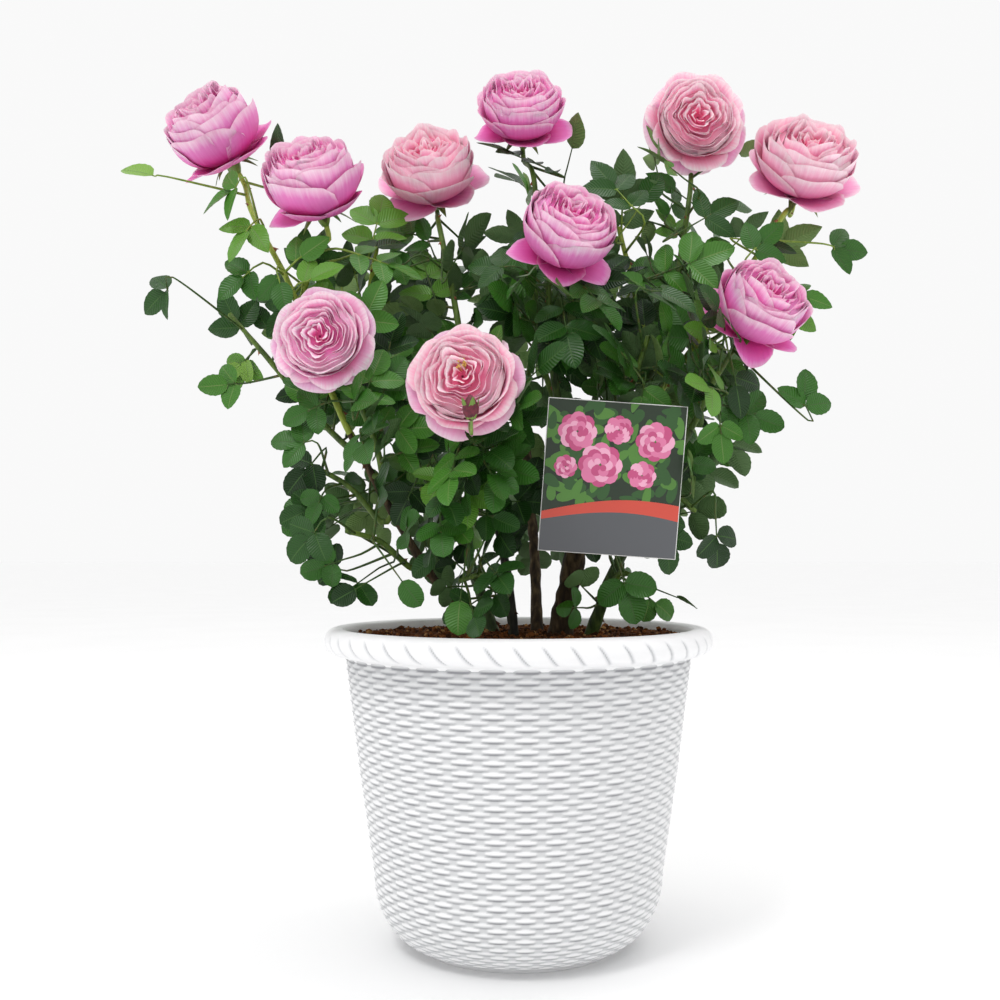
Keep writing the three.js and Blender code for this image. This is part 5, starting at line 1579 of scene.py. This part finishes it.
# Side veins: their height against the blade's half width, how many, and how far they lean forwards
PLEAT = {"height": 0.28, "rate": 24, "lean": 0.3}
WAVE = {"height": (0.25, 0.75), "rate": 7, "between_sides": 1.3}
BEND = (-0.12, 0.12)


def put_blades(out, blades, rng, ribs, unders):
    """Thin closed leaf forms with a folded midrib, lifted side veins and a toothed edge."""
    data = np.array(blades.rows)
    n = len(data)
    root, direction, face = data[:, 0:3], data[:, 3:6], data[:, 6:9]
    long, wide, low, high, fold, droop, tone = data[:, 9:].T
    face = face - direction * (face * direction).sum(1)[:, None]
    face /= np.linalg.norm(face, axis=1)[:, None]
    across = np.cross(direction, face)

    # The outline: width over the length, and teeth at every other row
    rows, s = np.linspace(0, 1, BLADE_STATIONS) ** BLADE_CROWDING, BLADE_ACROSS
    peak = low / (low + high)
    most = peak ** low * (1 - peak) ** high
    width = rows[None] ** low[:, None] * (1 - rows[None]) ** high[:, None] / most[:, None]
    width = np.maximum(width, LEAST_WIDTH)
    teeth = 1 + TOOTH * np.where(np.arange(BLADE_STATIONS) % 2, 1, -1) * (rng.random((n, 1)) * 0.6 + 0.7)
    half = (wide[:, None] / 2 * width * teeth)[..., None]
    width = width[..., None]

    # The surface: fold, waves, pleats between the side veins, and the droop of the tip
    t, off, aside = rows[None, :, None], np.abs(s), np.sign(s)[None, None]
    long, fold, droop = long[:, None, None], fold[:, None, None], droop[:, None, None]
    bend = rng.uniform(*BEND, (n, 1, 1))
    wave = rng.uniform(*WAVE["height"], (n, 1, 1)) * np.sin(
        rng.uniform(*ANY_ANGLE, (n, 1, 1)) + t * WAVE["rate"] + WAVE["between_sides"] * aside)
    pleat = PLEAT["height"] * np.sin(PLEAT["rate"] * (t - PLEAT["lean"] * off[None, None]))
    lift = wave * off ** 1.5 + pleat * off * (1 - off ** 4)
    rise = fold * off ** 1.25 * half + lift * width - droop * long * t ** 2
    side = s[None, None] * half + bend * long * t ** 2 * 0.6
    forward = long * t + 0.06 * half * (1 - off)
    forward = forward - 0.05 * long * (1 - t) * off
    sheet = (root[:, None, None] + forward[..., None] * direction[:, None, None]
             + side[..., None] * across[:, None, None] + rise[..., None] * face[:, None, None])

    cells = len(s) - 1
    middle = np.tile(np.arange(cells) == cells // 2, BLADE_STATIONS - 1)
    tone = tone.astype(int)
    top = np.where(middle[None], np.array(ribs)[tone][:, None], tone[:, None])
    under = np.broadcast_to(np.array(unders)[tone][:, None], top.shape)
    spots = grid_spots((s + 1) / 2, rows)
    shell(out, sheet, BLADE_THICKNESS, spots, spots, top, under)


# Shoots whose leaves make one piece together
REGIONS = {
    "leaves_left": ["shoot_left_top", "shoot_left_bloom", "shoot_left_side", "shoot_left_middle", "shoot_left_low",
                    "shoot_upper_left"],
    "leaves_middle": ["shoot_mid_left", "shoot_front", "shoot_foot", "shoot_front_low", "shoot_centre", "shoot_top",
                      "shoot_core_right"],
    "leaves_right": ["shoot_top_right", "shoot_upper_right", "shoot_far_right", "shoot_right", "shoot_right_low",
                     "shoot_foot_right"],
    "leaves_rear": ["shoot_rear_left", "shoot_rear_left_low", "shoot_rear_centre", "shoot_rear_low",
                    "shoot_rear_right", "shoot_right_back_low"],
}
# Greens of the leaves from deep to light, and for each the slots of its rib and of its underside
LEAF_TONES = [(22, 54, 15), (33, 74, 20), (47, 97, 26), (66, 120, 36), (92, 143, 48), (122, 164, 66)]
RIB_TONES = [(58, 92, 40), (100, 132, 66)]
UNDER_TONES = [(78, 108, 62), (112, 142, 80)]
LEAF_RIBS = [6, 6, 6, 7, 7, 7]
LEAF_UNDERS = [8, 8, 8, 9, 9, 9]
# The form of a low leaf, the heights over which it turns into that of a high one, and the spread of the greens
LEAF_FORM = {"from": 320, "over": 300, "crown_height": 400, "tone_spread": 1.2, "low_power": 0.52,
             "high_power": 0.5, "fold": 0.2}


def leaf_blades(blades, leaf, rng):
    """The leaflets of one leaf, in one green for all of them: darker deep inside the crown as painted shade and
    lighter at its outside as painted light, a little lighter towards the top, and otherwise at random.
    """
    high = min(1, max(0, (leaf["line"][-1][2] - LEAF_FORM["from"]) / LEAF_FORM["over"]))
    half_sizes = (CROWN["half_width"], CROWN["half_depth"], LEAF_FORM["crown_height"])
    outward = np.linalg.norm((np.array(leaf["line"][-1]) - CROWN["centre"]) / half_sizes)
    # Painted shade and light: darker greens inside the crown, lighter ones at its outside, and random spread
    tone = 1.6 + 0.2 * high + 1.2 * (outward - 0.6) + rng.normal(0, LEAF_FORM["tone_spread"])
    tone = int(min(len(LEAF_TONES) - 1, max(0, round(tone))))
    low_power = LEAF_FORM["low_power"] + 0.06 * high + rng.uniform(-0.04, 0.04)
    high_power = LEAF_FORM["high_power"] + 0.38 * high + rng.uniform(-0.06, 0.1)
    fold = LEAF_FORM["fold"] + rng.uniform(-0.12, 0.12)
    for one in leaf["leaflets"]:
        blades.put(one["root"], one["way"], one["face"], one["long"], one["wide"], low_power, high_power,
                   fold + rng.uniform(-0.08, 0.08), 0.06 + rng.uniform(0, 0.12), tone)


def make_leaves():
    rng = np.random.default_rng(30)
    materials = [green("leaf_tone_%d" % i, rgb) for i, rgb in enumerate(LEAF_TONES)]
    materials += [green("leaf_rib_%d" % i, rgb, 0.5, False) for i, rgb in enumerate(RIB_TONES)]
    materials += [green("leaf_under_%d" % i, rgb, 0.6) for i, rgb in enumerate(UNDER_TONES)]
    for name, owners in REGIONS.items():
        out, blades = Gathered(), Blades()
        for shoot, leaves in zip(SHOOT_NAMES, shown_leaves):
            for leaf in leaves if shoot in owners else ():
                leaf_blades(blades, leaf, rng)
        put_blades(out, blades, rng, LEAF_RIBS, LEAF_UNDERS)
        make_piece(name, out, materials, owners)


# Blooms
PETAL_ROWS, PETAL_COLUMNS = 11, 13
# Layers of petals from the outside in, in head diameters: how many, radius and height of their tips, radius and
# height of the belly that they curve through, and half their width. The first layer holds the guard petals, which
# spread outwards.
CUP_LAYERS = np.array([
    (5, 0.55, 0.16, 0.36, -0.03, 0.3), (4, 0.4, 0.52, 0.54, 0.1, 0.46), (5, 0.375, 0.6, 0.52, 0.15, 0.4),
    (5, 0.335, 0.64, 0.47, 0.2, 0.36), (6, 0.285, 0.66, 0.4, 0.26, 0.3), (6, 0.23, 0.67, 0.33, 0.32, 0.25),
    (6, 0.17, 0.665, 0.25, 0.38, 0.2), (6, 0.11, 0.655, 0.17, 0.42, 0.16), (5, 0.05, 0.63, 0.08, 0.44, 0.1),
])
ROSETTE_LAYERS = np.array([
    (6, 0.54, 0.17, 0.4, 0.15, 0.3), (6, 0.49, 0.25, 0.4, 0.16, 0.28), (6, 0.39, 0.39, 0.44, 0.12, 0.33),
    (6, 0.345, 0.425, 0.4, 0.18, 0.3), (6, 0.295, 0.44, 0.35, 0.22, 0.27), (6, 0.24, 0.45, 0.29, 0.26, 0.23),
    (6, 0.18, 0.45, 0.22, 0.3, 0.19), (6, 0.115, 0.445, 0.15, 0.34, 0.15), (4, 0.05, 0.43, 0.08, 0.36, 0.1),
])
HEART_DEPTH = 0.1
# How unevenly the five measures of a layer are taken up by its petals, in the outer two layers and the others
UNEVEN_OUTER = (0.09, 0.05, 0.04, 0.1, 0.14)
UNEVEN_INNER = (0.035, *UNEVEN_OUTER[1:])
PETAL_THICKNESS = 0.35


def nod(bloom):
    """A bloom's frame with its face leant a little further outwards the more it is cupped."""
    direction, side, other, base = bloom_frame(bloom)
    outward = -1 if base[1] < 70 else 1
    lower = -0.22 if bloom["open"] > 0.85 else 0
    leant = unit(add(direction, (0, outward * 0.55 * (1 - bloom["open"]), lower)))
    across = any_side(leant)
    return leant, across, cross(leant, across), base


def petal_rows(layers, first_turn, rng):
    """One row for each petal: its turn round the axis, the number of its layer, and its own five measures."""
    rows = []
    for depth, layer in enumerate(layers):
        count = round(layer[0])
        first = first_turn + GOLDEN_ANGLE * depth
        for i in range(count):
            turn = first + 2 * math.pi * i / count + rng.uniform(-0.12, 0.12)
            uneven = 1 + rng.uniform(-1, 1, 5) * (UNEVEN_OUTER if depth < 2 else UNEVEN_INNER)
            rows.append((turn, depth, *(layer[1:] * uneven)))
    return np.array(rows)


def petal_sheets(bloom, rng):
    """Petals in layers round the axis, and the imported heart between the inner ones."""
    opened, size = bloom["open"], bloom["size"]
    direction, side, other, base = nod(bloom)
    layers = CUP_LAYERS + (ROSETTE_LAYERS - CUP_LAYERS) * opened
    first_turn = rng.uniform(*ANY_ANGLE)
    rows = petal_rows(layers, first_turn, rng)
    turn, depth, tip_r, tip_z, belly_r, belly_z, half = (column[:, None, None] for column in rows.T)
    guard = depth == 0
    inner = np.clip((depth - 2) / 4, 0, 1)
    t = np.linspace(0, 1, PETAL_ROWS)[None, :, None]
    s = np.linspace(-1, 1, PETAL_COLUMNS)[None, None]

    def some(low, high):
        return rng.uniform(low, high, (len(rows), 1, 1))

    # The outline: how far the petal reaches at each place across it
    rounded = 1 - 0.08 * s * s - some(0.12, 0.24) * s ** 6
    pointed = 1 - some(0.35, 0.6) * (1 - opened) * np.abs(s) ** 1.2 - 0.2 * s ** 6
    outline = np.where(guard, pointed, rounded)
    outline = outline + some(-0.06, 0.02) * np.exp(-(s / 0.25) ** 2) + 0.018 * np.sin(5 * s + some(*ANY_ANGLE))
    reach = t * outline

    # The cup: a curve from the base through the belly to the tip, and how far it runs round the axis
    base_r = 0.09 + (0.7 * tip_r - 0.09) * inner
    base_z = 0.01 + (tip_z - 0.04 - HEART_DEPTH) * inner
    r = (1 - reach) ** 2 * base_r + 2 * reach * (1 - reach) * belly_r + reach ** 2 * tip_r
    z = (1 - reach) ** 2 * base_z + 2 * reach * (1 - reach) * belly_z + reach ** 2 * tip_z
    shape = 0.3 + 0.7 * np.sin(np.pi / 2 * np.clip(reach / 0.62, 0, 1))
    angle = turn + s * half * shape / np.maximum(r, 0.11)

    # The edge: curled outwards, then ruffled, and the inner petals folded into quarters
    curl = np.clip((reach - 0.7) / 0.3, 0, 1) ** 2 * (0.6 + 0.4 * np.clip(1.1 - depth / 5, 0, 1))
    r = r + (0.03 + 0.03 * opened) * curl * some(0.5, 1.2)
    z = z - 0.03 * curl * some(0.3, 1.2) + np.where(guard, some(-0.24, 0.18) * reach ** 2 * (1 - 0.7 * opened), 0)
    phase = some(*ANY_ANGLE)
    ruffled = np.where(depth < 2, 1.6, 1)
    wave = ruffled * (np.sin(2.4 * s + phase) * t ** 2 * 0.011 + np.sin(6 * s + 2 * phase) * t ** 4 * 0.007)
    r = r + wave + 0.02 * s * t
    z = z + wave + inner * 0.02 * np.sin(4 * s + phase) * t ** 3 + np.where(guard, 0.05 * s * s * t, 0)
    quarters = np.cos(4 * angle + first_turn) + 0.6 * np.cos(7 * angle + 2 * first_turn + 4 * r)
    r = r * (1 + 0.11 * inner * quarters * t)
    z = z + 0.018 * inner * quarters * t
    r = np.clip(np.minimum(r, 0.54 + 0.3 * (r - 0.54)), 0.004, None)

    # The heart: one more sheet that follows the tips of the inner layers from below
    heart_r = np.broadcast_to(0.01 + 0.38 * t, (1, PETAL_ROWS, PETAL_COLUMNS))
    heart_z = np.interp(heart_r, layers[:1:-1, 1], layers[:1:-1, 2]) - HEART_DEPTH
    heart_angle = np.broadcast_to(np.pi * s, heart_r.shape)
    r, z, angle = np.concatenate([r, heart_r]), np.concatenate([z, heart_z]), np.concatenate([angle, heart_angle])
    level = np.stack([r * np.cos(angle), r * np.sin(angle), z], -1) * size
    return np.array(base) + level @ np.array([side, other, direction]), np.append(guard[:, 0, 0], False)


BLOOM_COLOURS = {
    "deep": {"outside": [(0, (170, 30, 104)), (0.45, (218, 70, 156)), (0.8, (238, 130, 194)), (1, (252, 214, 234))],
             "inside": [(0, (218, 46, 128)), (0.5, (230, 96, 168)), (0.82, (244, 162, 210)), (1, (255, 226, 240))],
             "guard": [(0, (178, 24, 102)), (0.4, (218, 66, 154)), (0.8, (232, 108, 182)), (1, (244, 168, 216))]},
    "pale": {"outside": [(0, (208, 70, 136)), (0.45, (236, 120, 170)), (0.8, (250, 176, 204)), (1, (255, 230, 238))],
             "inside": [(0, (238, 76, 124)), (0.5, (246, 128, 164)), (0.82, (253, 190, 210)), (1, (255, 240, 243))],
             "guard": [(0, (204, 76, 140)), (0.4, (232, 120, 176)), (0.8, (244, 168, 204)), (1, (253, 216, 232))]},
    "rose": {"outside": [(0, (206, 66, 138)), (0.45, (234, 116, 176)), (0.8, (247, 172, 210)), (1, (255, 230, 241))],
             "inside": [(0, (232, 70, 142)), (0.5, (240, 118, 178)), (0.82, (250, 184, 216)), (1, (255, 240, 246))],
             "guard": [(0, (202, 66, 136)), (0.4, (230, 120, 182)), (0.8, (245, 174, 214)), (1, (253, 222, 238))]},
}


def petal_finish(tone):
    """A petal's colour from its foot to its edge, on four tiles: outside and inside, guard petals and the rest."""
    finish = Finish("petal_" + tone, 0.55, Specular_IOR_Level=0.25, Sheen_Weight=0.06, Sheen_Roughness=0.4,
                    Subsurface_Weight=0.35, Subsurface_Radius=(1.0, 0.35, 0.5), Subsurface_Scale=0.004)
    parts = finish.node("SeparateXYZ", Vector=finish.spot())
    across, up = (finish.math("MULTIPLY", parts.outputs[axis], 2.0) for axis in ("X", "Y"))
    inside = finish.math("GREATER_THAN", across, 1.0)
    guard = finish.math("GREATER_THAN", up, 1.0)
    along_petal = finish.math("FRACT", up)
    streak = finish.node("Mapping", Vector=finish.spot(), Scale=(60, 3, 1)).outputs["Vector"]
    uneven = finish.math("MULTIPLY", finish.math("SUBTRACT", finish.noise(streak, 1.0), 0.5), 0.22)
    share = finish.math("ADD", along_petal, uneven)
    looks = BLOOM_COLOURS[tone]
    plain = finish.blend(inside, finish.ramp(share, looks["outside"]), finish.ramp(share, looks["inside"]))
    finish.colour(finish.blend(guard, plain, finish.ramp(share, looks["guard"])))
    finish.bump(finish.noise(streak, 1.5), 0.25, 0.0006)
    return finish.material


def make_blooms():
    rng = np.random.default_rng(31)
    s = np.linspace(0.04, 0.96, PETAL_COLUMNS)
    t = np.linspace(0.03, 0.97, PETAL_ROWS)
    stamen = plain("stamens", (214, 176, 84), 0.6, 0.5, (1500, 0.5, 0.0005))
    for tone in BLOOM_COLOURS:
        out = Gathered()
        names = [name for name, bloom in BLOOMS.items() if bloom["tone"] == tone]
        for name in names:
            sheets, guard = petal_sheets(BLOOMS[name], rng)
            for is_guard in (False, True):
                chosen = sheets[guard == is_guard]
                if len(chosen):
                    rows = t / 2 + (0.5 if is_guard else 0)
                    outside, inside = grid_spots(s / 2, rows), grid_spots(s / 2 + 0.5, rows)
                    shell(out, chosen, PETAL_THICKNESS, outside, inside, 0, 0)
            if name == "bloom_front":
                put_stamens(out, BLOOMS[name], rng)
        make_piece("blooms_" + tone, out, [petal_finish(tone), stamen.material], names)


def put_stamens(out, bloom, rng):
    """Short filaments with yellow heads in the middle of an open bloom."""
    direction, side, other, base = bloom_frame(bloom)
    form, faces = lump_form()
    for _ in range(16):
        a, r = rng.uniform(*ANY_ANGLE), 0.05 * bloom["size"] * math.sqrt(rng.random())
        aside = add(scale(side, r * math.cos(a)), scale(other, r * math.sin(a)))
        foot = add(along(base, direction, 0.3 * bloom["size"]), scale(aside, 0.4))
        head = add(along(base, direction, (0.44 + 0.04 * rng.random()) * bloom["size"]), scale(aside, 1.2))
        tube(out, [foot, mix(foot, head, 0.5), head], [0.3, 0.26, 0.24], 4, 1)
        out.put(np.array(head) + form * rng.uniform(0.6, 0.95), faces, None, 1)


# Places along the axis from a head's base, and radii, of the hip under a head of the usual diameter and of the bud
HIP = ([-12, -9, -5, -1, 2, 4], [2.6, 4.2, 5.6, 5.8, 4.6, 3])
BUD_FORM = ([-1, 1, 4, 8, 12, 16], [1.3, 3.2, 5.2, 5.7, 4.2, 1.3])
USUAL_HEAD = 80
SEPALS = 5
# The bud's stalk leaves the front shoot's stem at a share of its length and passes these points
BUD = {"share": 0.9, "way": [(-34, -150, 406), (-32, -166.5, 398.5), (-32, -175.5, 407.5)],
       "axis": (-0.04, -0.06, 1)}
BUD_REDS = [(0.35, (70, 8, 26)), (0.7, (112, 20, 46))]
HIP_GREENS = [(0.35, (88, 118, 46)), (0.7, (126, 152, 70))]


def put_hip(out, blades, bloom, rng):
    """The swollen hip under a head and its sepals, bent down the more the less the head has opened."""
    direction, side, other, base = bloom_frame(bloom)
    size = bloom["size"] / USUAL_HEAD
    tube(out, [along(base, direction, d) for d in HIP[0]], np.array(HIP[1]) * size, 12, 3)
    for i in range(SEPALS):
        a = 2 * math.pi * i / SEPALS + rng.uniform(-0.15, 0.15)
        radial = add(scale(side, math.cos(a)), scale(other, math.sin(a)))
        root = along(along(base, direction, 1), radial, 3.6 * size)
        up = -0.25 + 0.2 * bloom["open"] + rng.uniform(-0.12, 0.12)
        way = unit(add(radial, scale(direction, up)))
        face = square_to(direction, way)
        blades.put(root, way, face, (23 + rng.uniform(-3, 4)) * size, 8 * size, 0.32, 0.95, -0.25, 0.35, i % 2)


def put_bud(out, blades):
    """The closed bud beside the front head on its own stalk, its sepals pressed to it."""
    direction = unit(BUD["axis"])
    side = any_side(direction)
    other = cross(direction, side)
    carrier = next(shoot for shoot in shoots if shoot["name"] == "shoot_front")["stems"][0]["line"]
    tube(out, smooth_line([point_on(carrier, BUD["share"])[0], *BUD["way"]], 4), 1.1, 8, 3)
    at = BUD["way"][-1]
    tube(out, [along(at, direction, d) for d in BUD_FORM[0]], BUD_FORM[1], 12, 4)
    for i in range(SEPALS):
        a = 2 * math.pi * i / SEPALS
        radial = add(scale(side, math.cos(a)), scale(other, math.sin(a)))
        way = unit(add(direction, scale(radial, 0.28)))
        blades.put(along(at, radial, 3), way, radial, 15, 6.4, 0.35, 0.8, -0.3, 0.05, 1)


def patchy(name, roughness, size, tones):
    """A finish of two tones in soft patches."""
    finish = Finish(name, roughness)
    finish.colour(finish.ramp(finish.noise(finish.place(), size), tones))
    return finish.material


def make_calyces():
    """The hips and sepals under the heads, and the bud. Sepals take slots 0 and 1, their ribs and undersides 2."""
    rng = np.random.default_rng(37)
    out, blades = Gathered(), Blades()
    for bloom in BLOOMS.values():
        put_hip(out, blades, bloom, rng)
    put_bud(out, blades)
    put_blades(out, blades, rng, [2, 2], [2, 2])
    materials = [green("sepal_deep", (84, 112, 46)), green("sepal_light", (112, 142, 62)),
                 green("sepal_under", (122, 150, 86), 0.6), patchy("hip_skin", 0.4, 260, HIP_GREENS),
                 patchy("bud_petals", 0.55, 300, BUD_REDS)]
    make_piece("calyces", out, materials, [*BLOOMS, "bud_front"])


# Label card on its strap
CARD_HALVES = (CARD["width"] / 2, CARD["height"] / 2)
CARD_LOOKS = {
    "card_white": (236, 236, 234), "card_grey": (86, 88, 92), "card_coral": (206, 74, 58),
    "card_green": (26, 44, 24), "card_leaf_deep": (40, 84, 32), "card_leaf_light": (78, 128, 48),
    "card_petal_deep": (196, 78, 128), "card_petal_mid": (222, 122, 164), "card_petal_light": (240, 172, 200),
}
# The card's rounded edge and the plain border of its picture, in millimetres
CARD_EDGE = 0.5
BORDER = 0.6
# The wavy edge of the bands: its lowest height over the card's foot, the height and length of its wave, and the
# depth of the upper band at its left end and how much deeper it is at the right
WAVY_EDGE = {"height": 24, "wave": 9, "length": 2.6, "corners": 24, "band": 6, "deeper": 6}
PATCH_CORNERS = 12
# Lifts of the flat patches off the card, each kind over the one before: ground, leaves, bands and petals
LIFTS = {"ground": 0.42, "leaves": 0.5, "each_leaf": 0.0016, "bands": 0.74, "petals": 0.8, "each_ring": 0.05,
         "each_petal": 0.004}
LEAF_PATCHES = {"count": 110, "lowest": -14, "clear": 3, "long": (13, 19), "wide": (6, 9)}
# Flowers of the picture: place across and up from the card's middle, and the reach of the petals
CARD_FLOWERS = ((-29, 34, 15), (2, 37, 11), (30, 30, 15), (-10, 10, 17), (22, 4, 11), (-36, 7, 9))
# Petals of a flower ring by ring: how many, and how far they reach
FLOWER_RINGS = ((8, 1.0), (7, 0.78), (6, 0.56), (4, 0.34))
STRAP_COLUMNS = 40


def card_point(x, z, lift):
    """A point of the card's face, from its middle, lifted off it towards the front."""
    across, up = card_axes()
    return along(along(along(CARD["at"], across, x), up, z), cross(across, up), lift)


def put_patch(out, outline, lift, slot):
    """A flat form on the card's face, a fan round its middle."""
    middle = np.mean(outline, axis=0)
    points = [card_point(*middle, lift), *(card_point(x, z, lift) for x, z in outline)]
    n = len(outline)
    out.put(points, [[0, 1 + i, 1 + (i + 1) % n] for i in range(n)], None, slot)


def put_band(out, lower, upper, lift, slot):
    """A flat form between two edges on the card's face."""
    points = [card_point(x, z, lift) for x, z in [*lower, *upper]]
    out.put(points, grid(2, len(lower)), None, slot)


def patch_outline(cx, cz, a, form):
    """An outline turned by an angle about a place on the card. The form gives its own two lengths."""
    outline = []
    for k in range(PATCH_CORNERS):
        x, z = form(k / PATCH_CORNERS * 2 * math.pi)
        outline.append((cx + x * math.cos(a) - z * math.sin(a), cz + x * math.sin(a) + z * math.cos(a)))
    return outline


def put_leaf_patch(out, cx, cz, a, long, wide, lift, slot):
    def form(t):
        return long * (0.5 - 0.5 * math.cos(t)), wide * 0.5 * math.sin(t) * (1 - 0.3 * math.cos(t))

    outline = [tuple(max(-half + 0.8, min(half - 0.8, c)) for c, half in zip(place, CARD_HALVES))
               for place in patch_outline(cx, cz, a, form)]
    put_patch(out, outline, lift, slot)


def put_petal_patch(out, cx, cz, a, long, lift, slot):
    def form(t):
        return long * (0.56 - 0.44 * math.cos(t)), long * 0.42 * math.sin(t)

    put_patch(out, patch_outline(cx, cz, a, form), lift, slot)


def put_card_face(out):
    """The card itself with a rounded edge: a shell over a grid that is a little higher inside."""
    w, h = CARD_HALVES
    thick = CARD["thickness"]
    xs = np.array([-w, -w + CARD_EDGE, w - CARD_EDGE, w])
    zs = np.array([-h, -h + CARD_EDGE, h - CARD_EDGE, h])
    front = [[card_point(x, z, thick * (0 if (i in (0, 3) or j in (0, 3)) else 0.3)) for i, x in enumerate(xs)]
             for j, z in enumerate(zs)]
    shell(out, np.array(front)[None], thick * 0.9, 0, 0, 0, 0)


def put_picture(out):
    """A generic picture of flowers over leaves on a dark ground, above two bands with a wavy edge."""
    w, h = CARD_HALVES
    rng = np.random.default_rng(43)
    places = np.linspace(-w + BORDER, w - BORDER, WAVY_EDGE["corners"])
    waves = [WAVY_EDGE["wave"] * math.sin((x + w) / (2 * w) * WAVY_EDGE["length"]) for x in places]
    edge = [(x, -h + WAVY_EDGE["height"] + wave) for x, wave in zip(places, waves)]
    upper = [(x, z + WAVY_EDGE["band"] + WAVY_EDGE["deeper"] * (0.5 + 0.5 * x / w)) for x, z in edge]
    put_band(out, [(x, -h + BORDER) for x, _ in edge], edge, LIFTS["bands"], 1)
    put_band(out, edge, upper, LIFTS["bands"], 2)
    put_band(out, upper, [(x, h - BORDER) for x, _ in edge], LIFTS["ground"], 3)
    clear = LEAF_PATCHES["clear"]
    for i in range(LEAF_PATCHES["count"]):
        cx, cz = rng.uniform(-w + clear, w - clear), rng.uniform(LEAF_PATCHES["lowest"], h - clear)
        a = rng.uniform(*ANY_ANGLE)
        long, wide = rng.uniform(*LEAF_PATCHES["long"]), rng.uniform(*LEAF_PATCHES["wide"])
        put_leaf_patch(out, cx, cz, a, long, wide, LIFTS["leaves"] + LIFTS["each_leaf"] * i, 4 + i % 2)
    for cx, cz, size in CARD_FLOWERS:
        for ring, (count, reach) in enumerate(FLOWER_RINGS):
            for i in range(count):
                a = (i + ring * 0.5 + cx) * 2 * math.pi / count
                lift = LIFTS["petals"] + LIFTS["each_ring"] * ring + LIFTS["each_petal"] * i
                put_petal_patch(out, cx, cz, a, size * reach, lift, 6 + (ring + i) % 3)


def put_strap(out):
    """The ring of the strap round the main cane, and the strip from it to the card."""
    cane, direction, _ = point_on(limb_lines["cane_main"], strap_share())
    around = limb_radius("cane_main", strap_share()) + 1.2
    side = any_side(direction)
    other = cross(direction, side)
    band = CARD["strap_height"] / 2
    section = [(around, -band), (around + 1, -band), (around + 1, band), (around, band), (around, -band)]
    points = []
    for r, z in section:
        for i in range(STRAP_COLUMNS):
            a = 2 * math.pi * i / STRAP_COLUMNS
            aside = add(scale(side, r * math.cos(a)), scale(other, r * math.sin(a)))
            points.append(add(along(cane, direction, z), aside))
    out.put(points, grid(len(section), STRAP_COLUMNS, True), None, 0)
    far, near = cane[1] - around, CARD["at"][1] + 5
    x, z, deep = cane[0], CARD["strap_z"], band - 1
    box = [(x + i * 0.5, y, z + k * deep) for y in (near, far) for i, k in ((-1, -1), (1, -1), (1, 1), (-1, 1))]
    out.put(box, [[0, 1, 2, 3], [7, 6, 5, 4], [0, 4, 5, 1], [1, 5, 6, 2], [2, 6, 7, 3], [3, 7, 4, 0]], None, 0)


def card_finish(name, rgb):
    finish = plain(name, rgb, 0.32, 0.5, (900, 0.08, 0.0002))
    finish.uneven_gloss(200, 0.26, 0.42)
    return finish.material


def make_card():
    out = Gathered()
    put_card_face(out)
    put_picture(out)
    put_strap(out)
    materials = [card_finish(name, rgb) for name, rgb in CARD_LOOKS.items()]
    make_piece("label_plate", out, materials, ["label_card"], flat=True)


make_pot()
make_soil()
make_canes()
make_stems()
make_leaves()
make_twigs()
make_blooms()
make_calyces()
make_card()


# Floor, light and camera
FLOOR_HALF = 40
SENSOR_WIDTH = 36
BRIGHTNESS_AROUND = 0.95


def make_floor():
    mesh = bpy.data.meshes.new("floor")
    corners = [(x * FLOOR_HALF, y * FLOOR_HALF, 0) for x, y in ((-1, -1), (1, -1), (1, 1), (-1, 1))]
    mesh.from_pydata(corners, [], [(0, 1, 2, 3)])
    finish = Finish("floor_pale", 0.9)
    finish.colour(finish.ramp(finish.noise(finish.place(), 3), [(0.3, (253, 253, 253)), (0.7, (255, 255, 255))]))
    mesh.materials.append(finish.material)
    floor = bpy.data.objects.new("floor", mesh)
    bpy.context.scene.collection.objects.link(floor)


def make_light(name, place, target, size, power):
    light = bpy.data.lights.new(name, "AREA")
    light.shape = "DISK"
    light.size = size
    light.energy = power
    lamp = bpy.data.objects.new(name, light)
    lamp.location = place
    way = Vector(target) - Vector(place)
    lamp.rotation_euler = way.to_track_quat("-Z", "Y").to_euler()
    bpy.context.scene.collection.objects.link(lamp)


def make_world(strength):
    world = bpy.data.worlds.new("studio")
    world.use_nodes = True
    background = next(n for n in world.node_tree.nodes if n.type == "BACKGROUND")
    background.inputs["Color"].default_value = (1, 1, 1, 1)
    background.inputs["Strength"].default_value = strength
    bpy.context.scene.world = world


def make_camera():
    camera = bpy.data.cameras.new("camera")
    camera.sensor_fit = "HORIZONTAL"
    camera.sensor_width = SENSOR_WIDTH
    camera.lens = SENSOR_WIDTH * FOCAL_PIXELS / IMAGE_SIDE
    camera.shift_x = (IMAGE_SIDE / 2 - AXIS_PIXEL) / IMAGE_SIDE
    camera.shift_y = (HORIZON_PIXEL - IMAGE_SIDE / 2) / IMAGE_SIDE
    camera.clip_start = 0.05
    camera.clip_end = 50
    holder = bpy.data.objects.new("camera", camera)
    holder.location = (0, -CAMERA_DISTANCE, CAMERA_HEIGHT)
    holder.rotation_euler = (math.pi / 2, 0, 0)
    bpy.context.scene.collection.objects.link(holder)
    bpy.context.scene.camera = holder


make_floor()
make_world(BRIGHTNESS_AROUND)
make_light("key_light", (-1.0, -1.6, 2.9), (0, 0, 0.4), 0.8, 22)
make_light("top_light", (0.5, 0.1, 2.8), (0, 0, 0.5), 1.0, 12)
make_camera()
bpy.context.scene.view_settings.view_transform = "Standard"
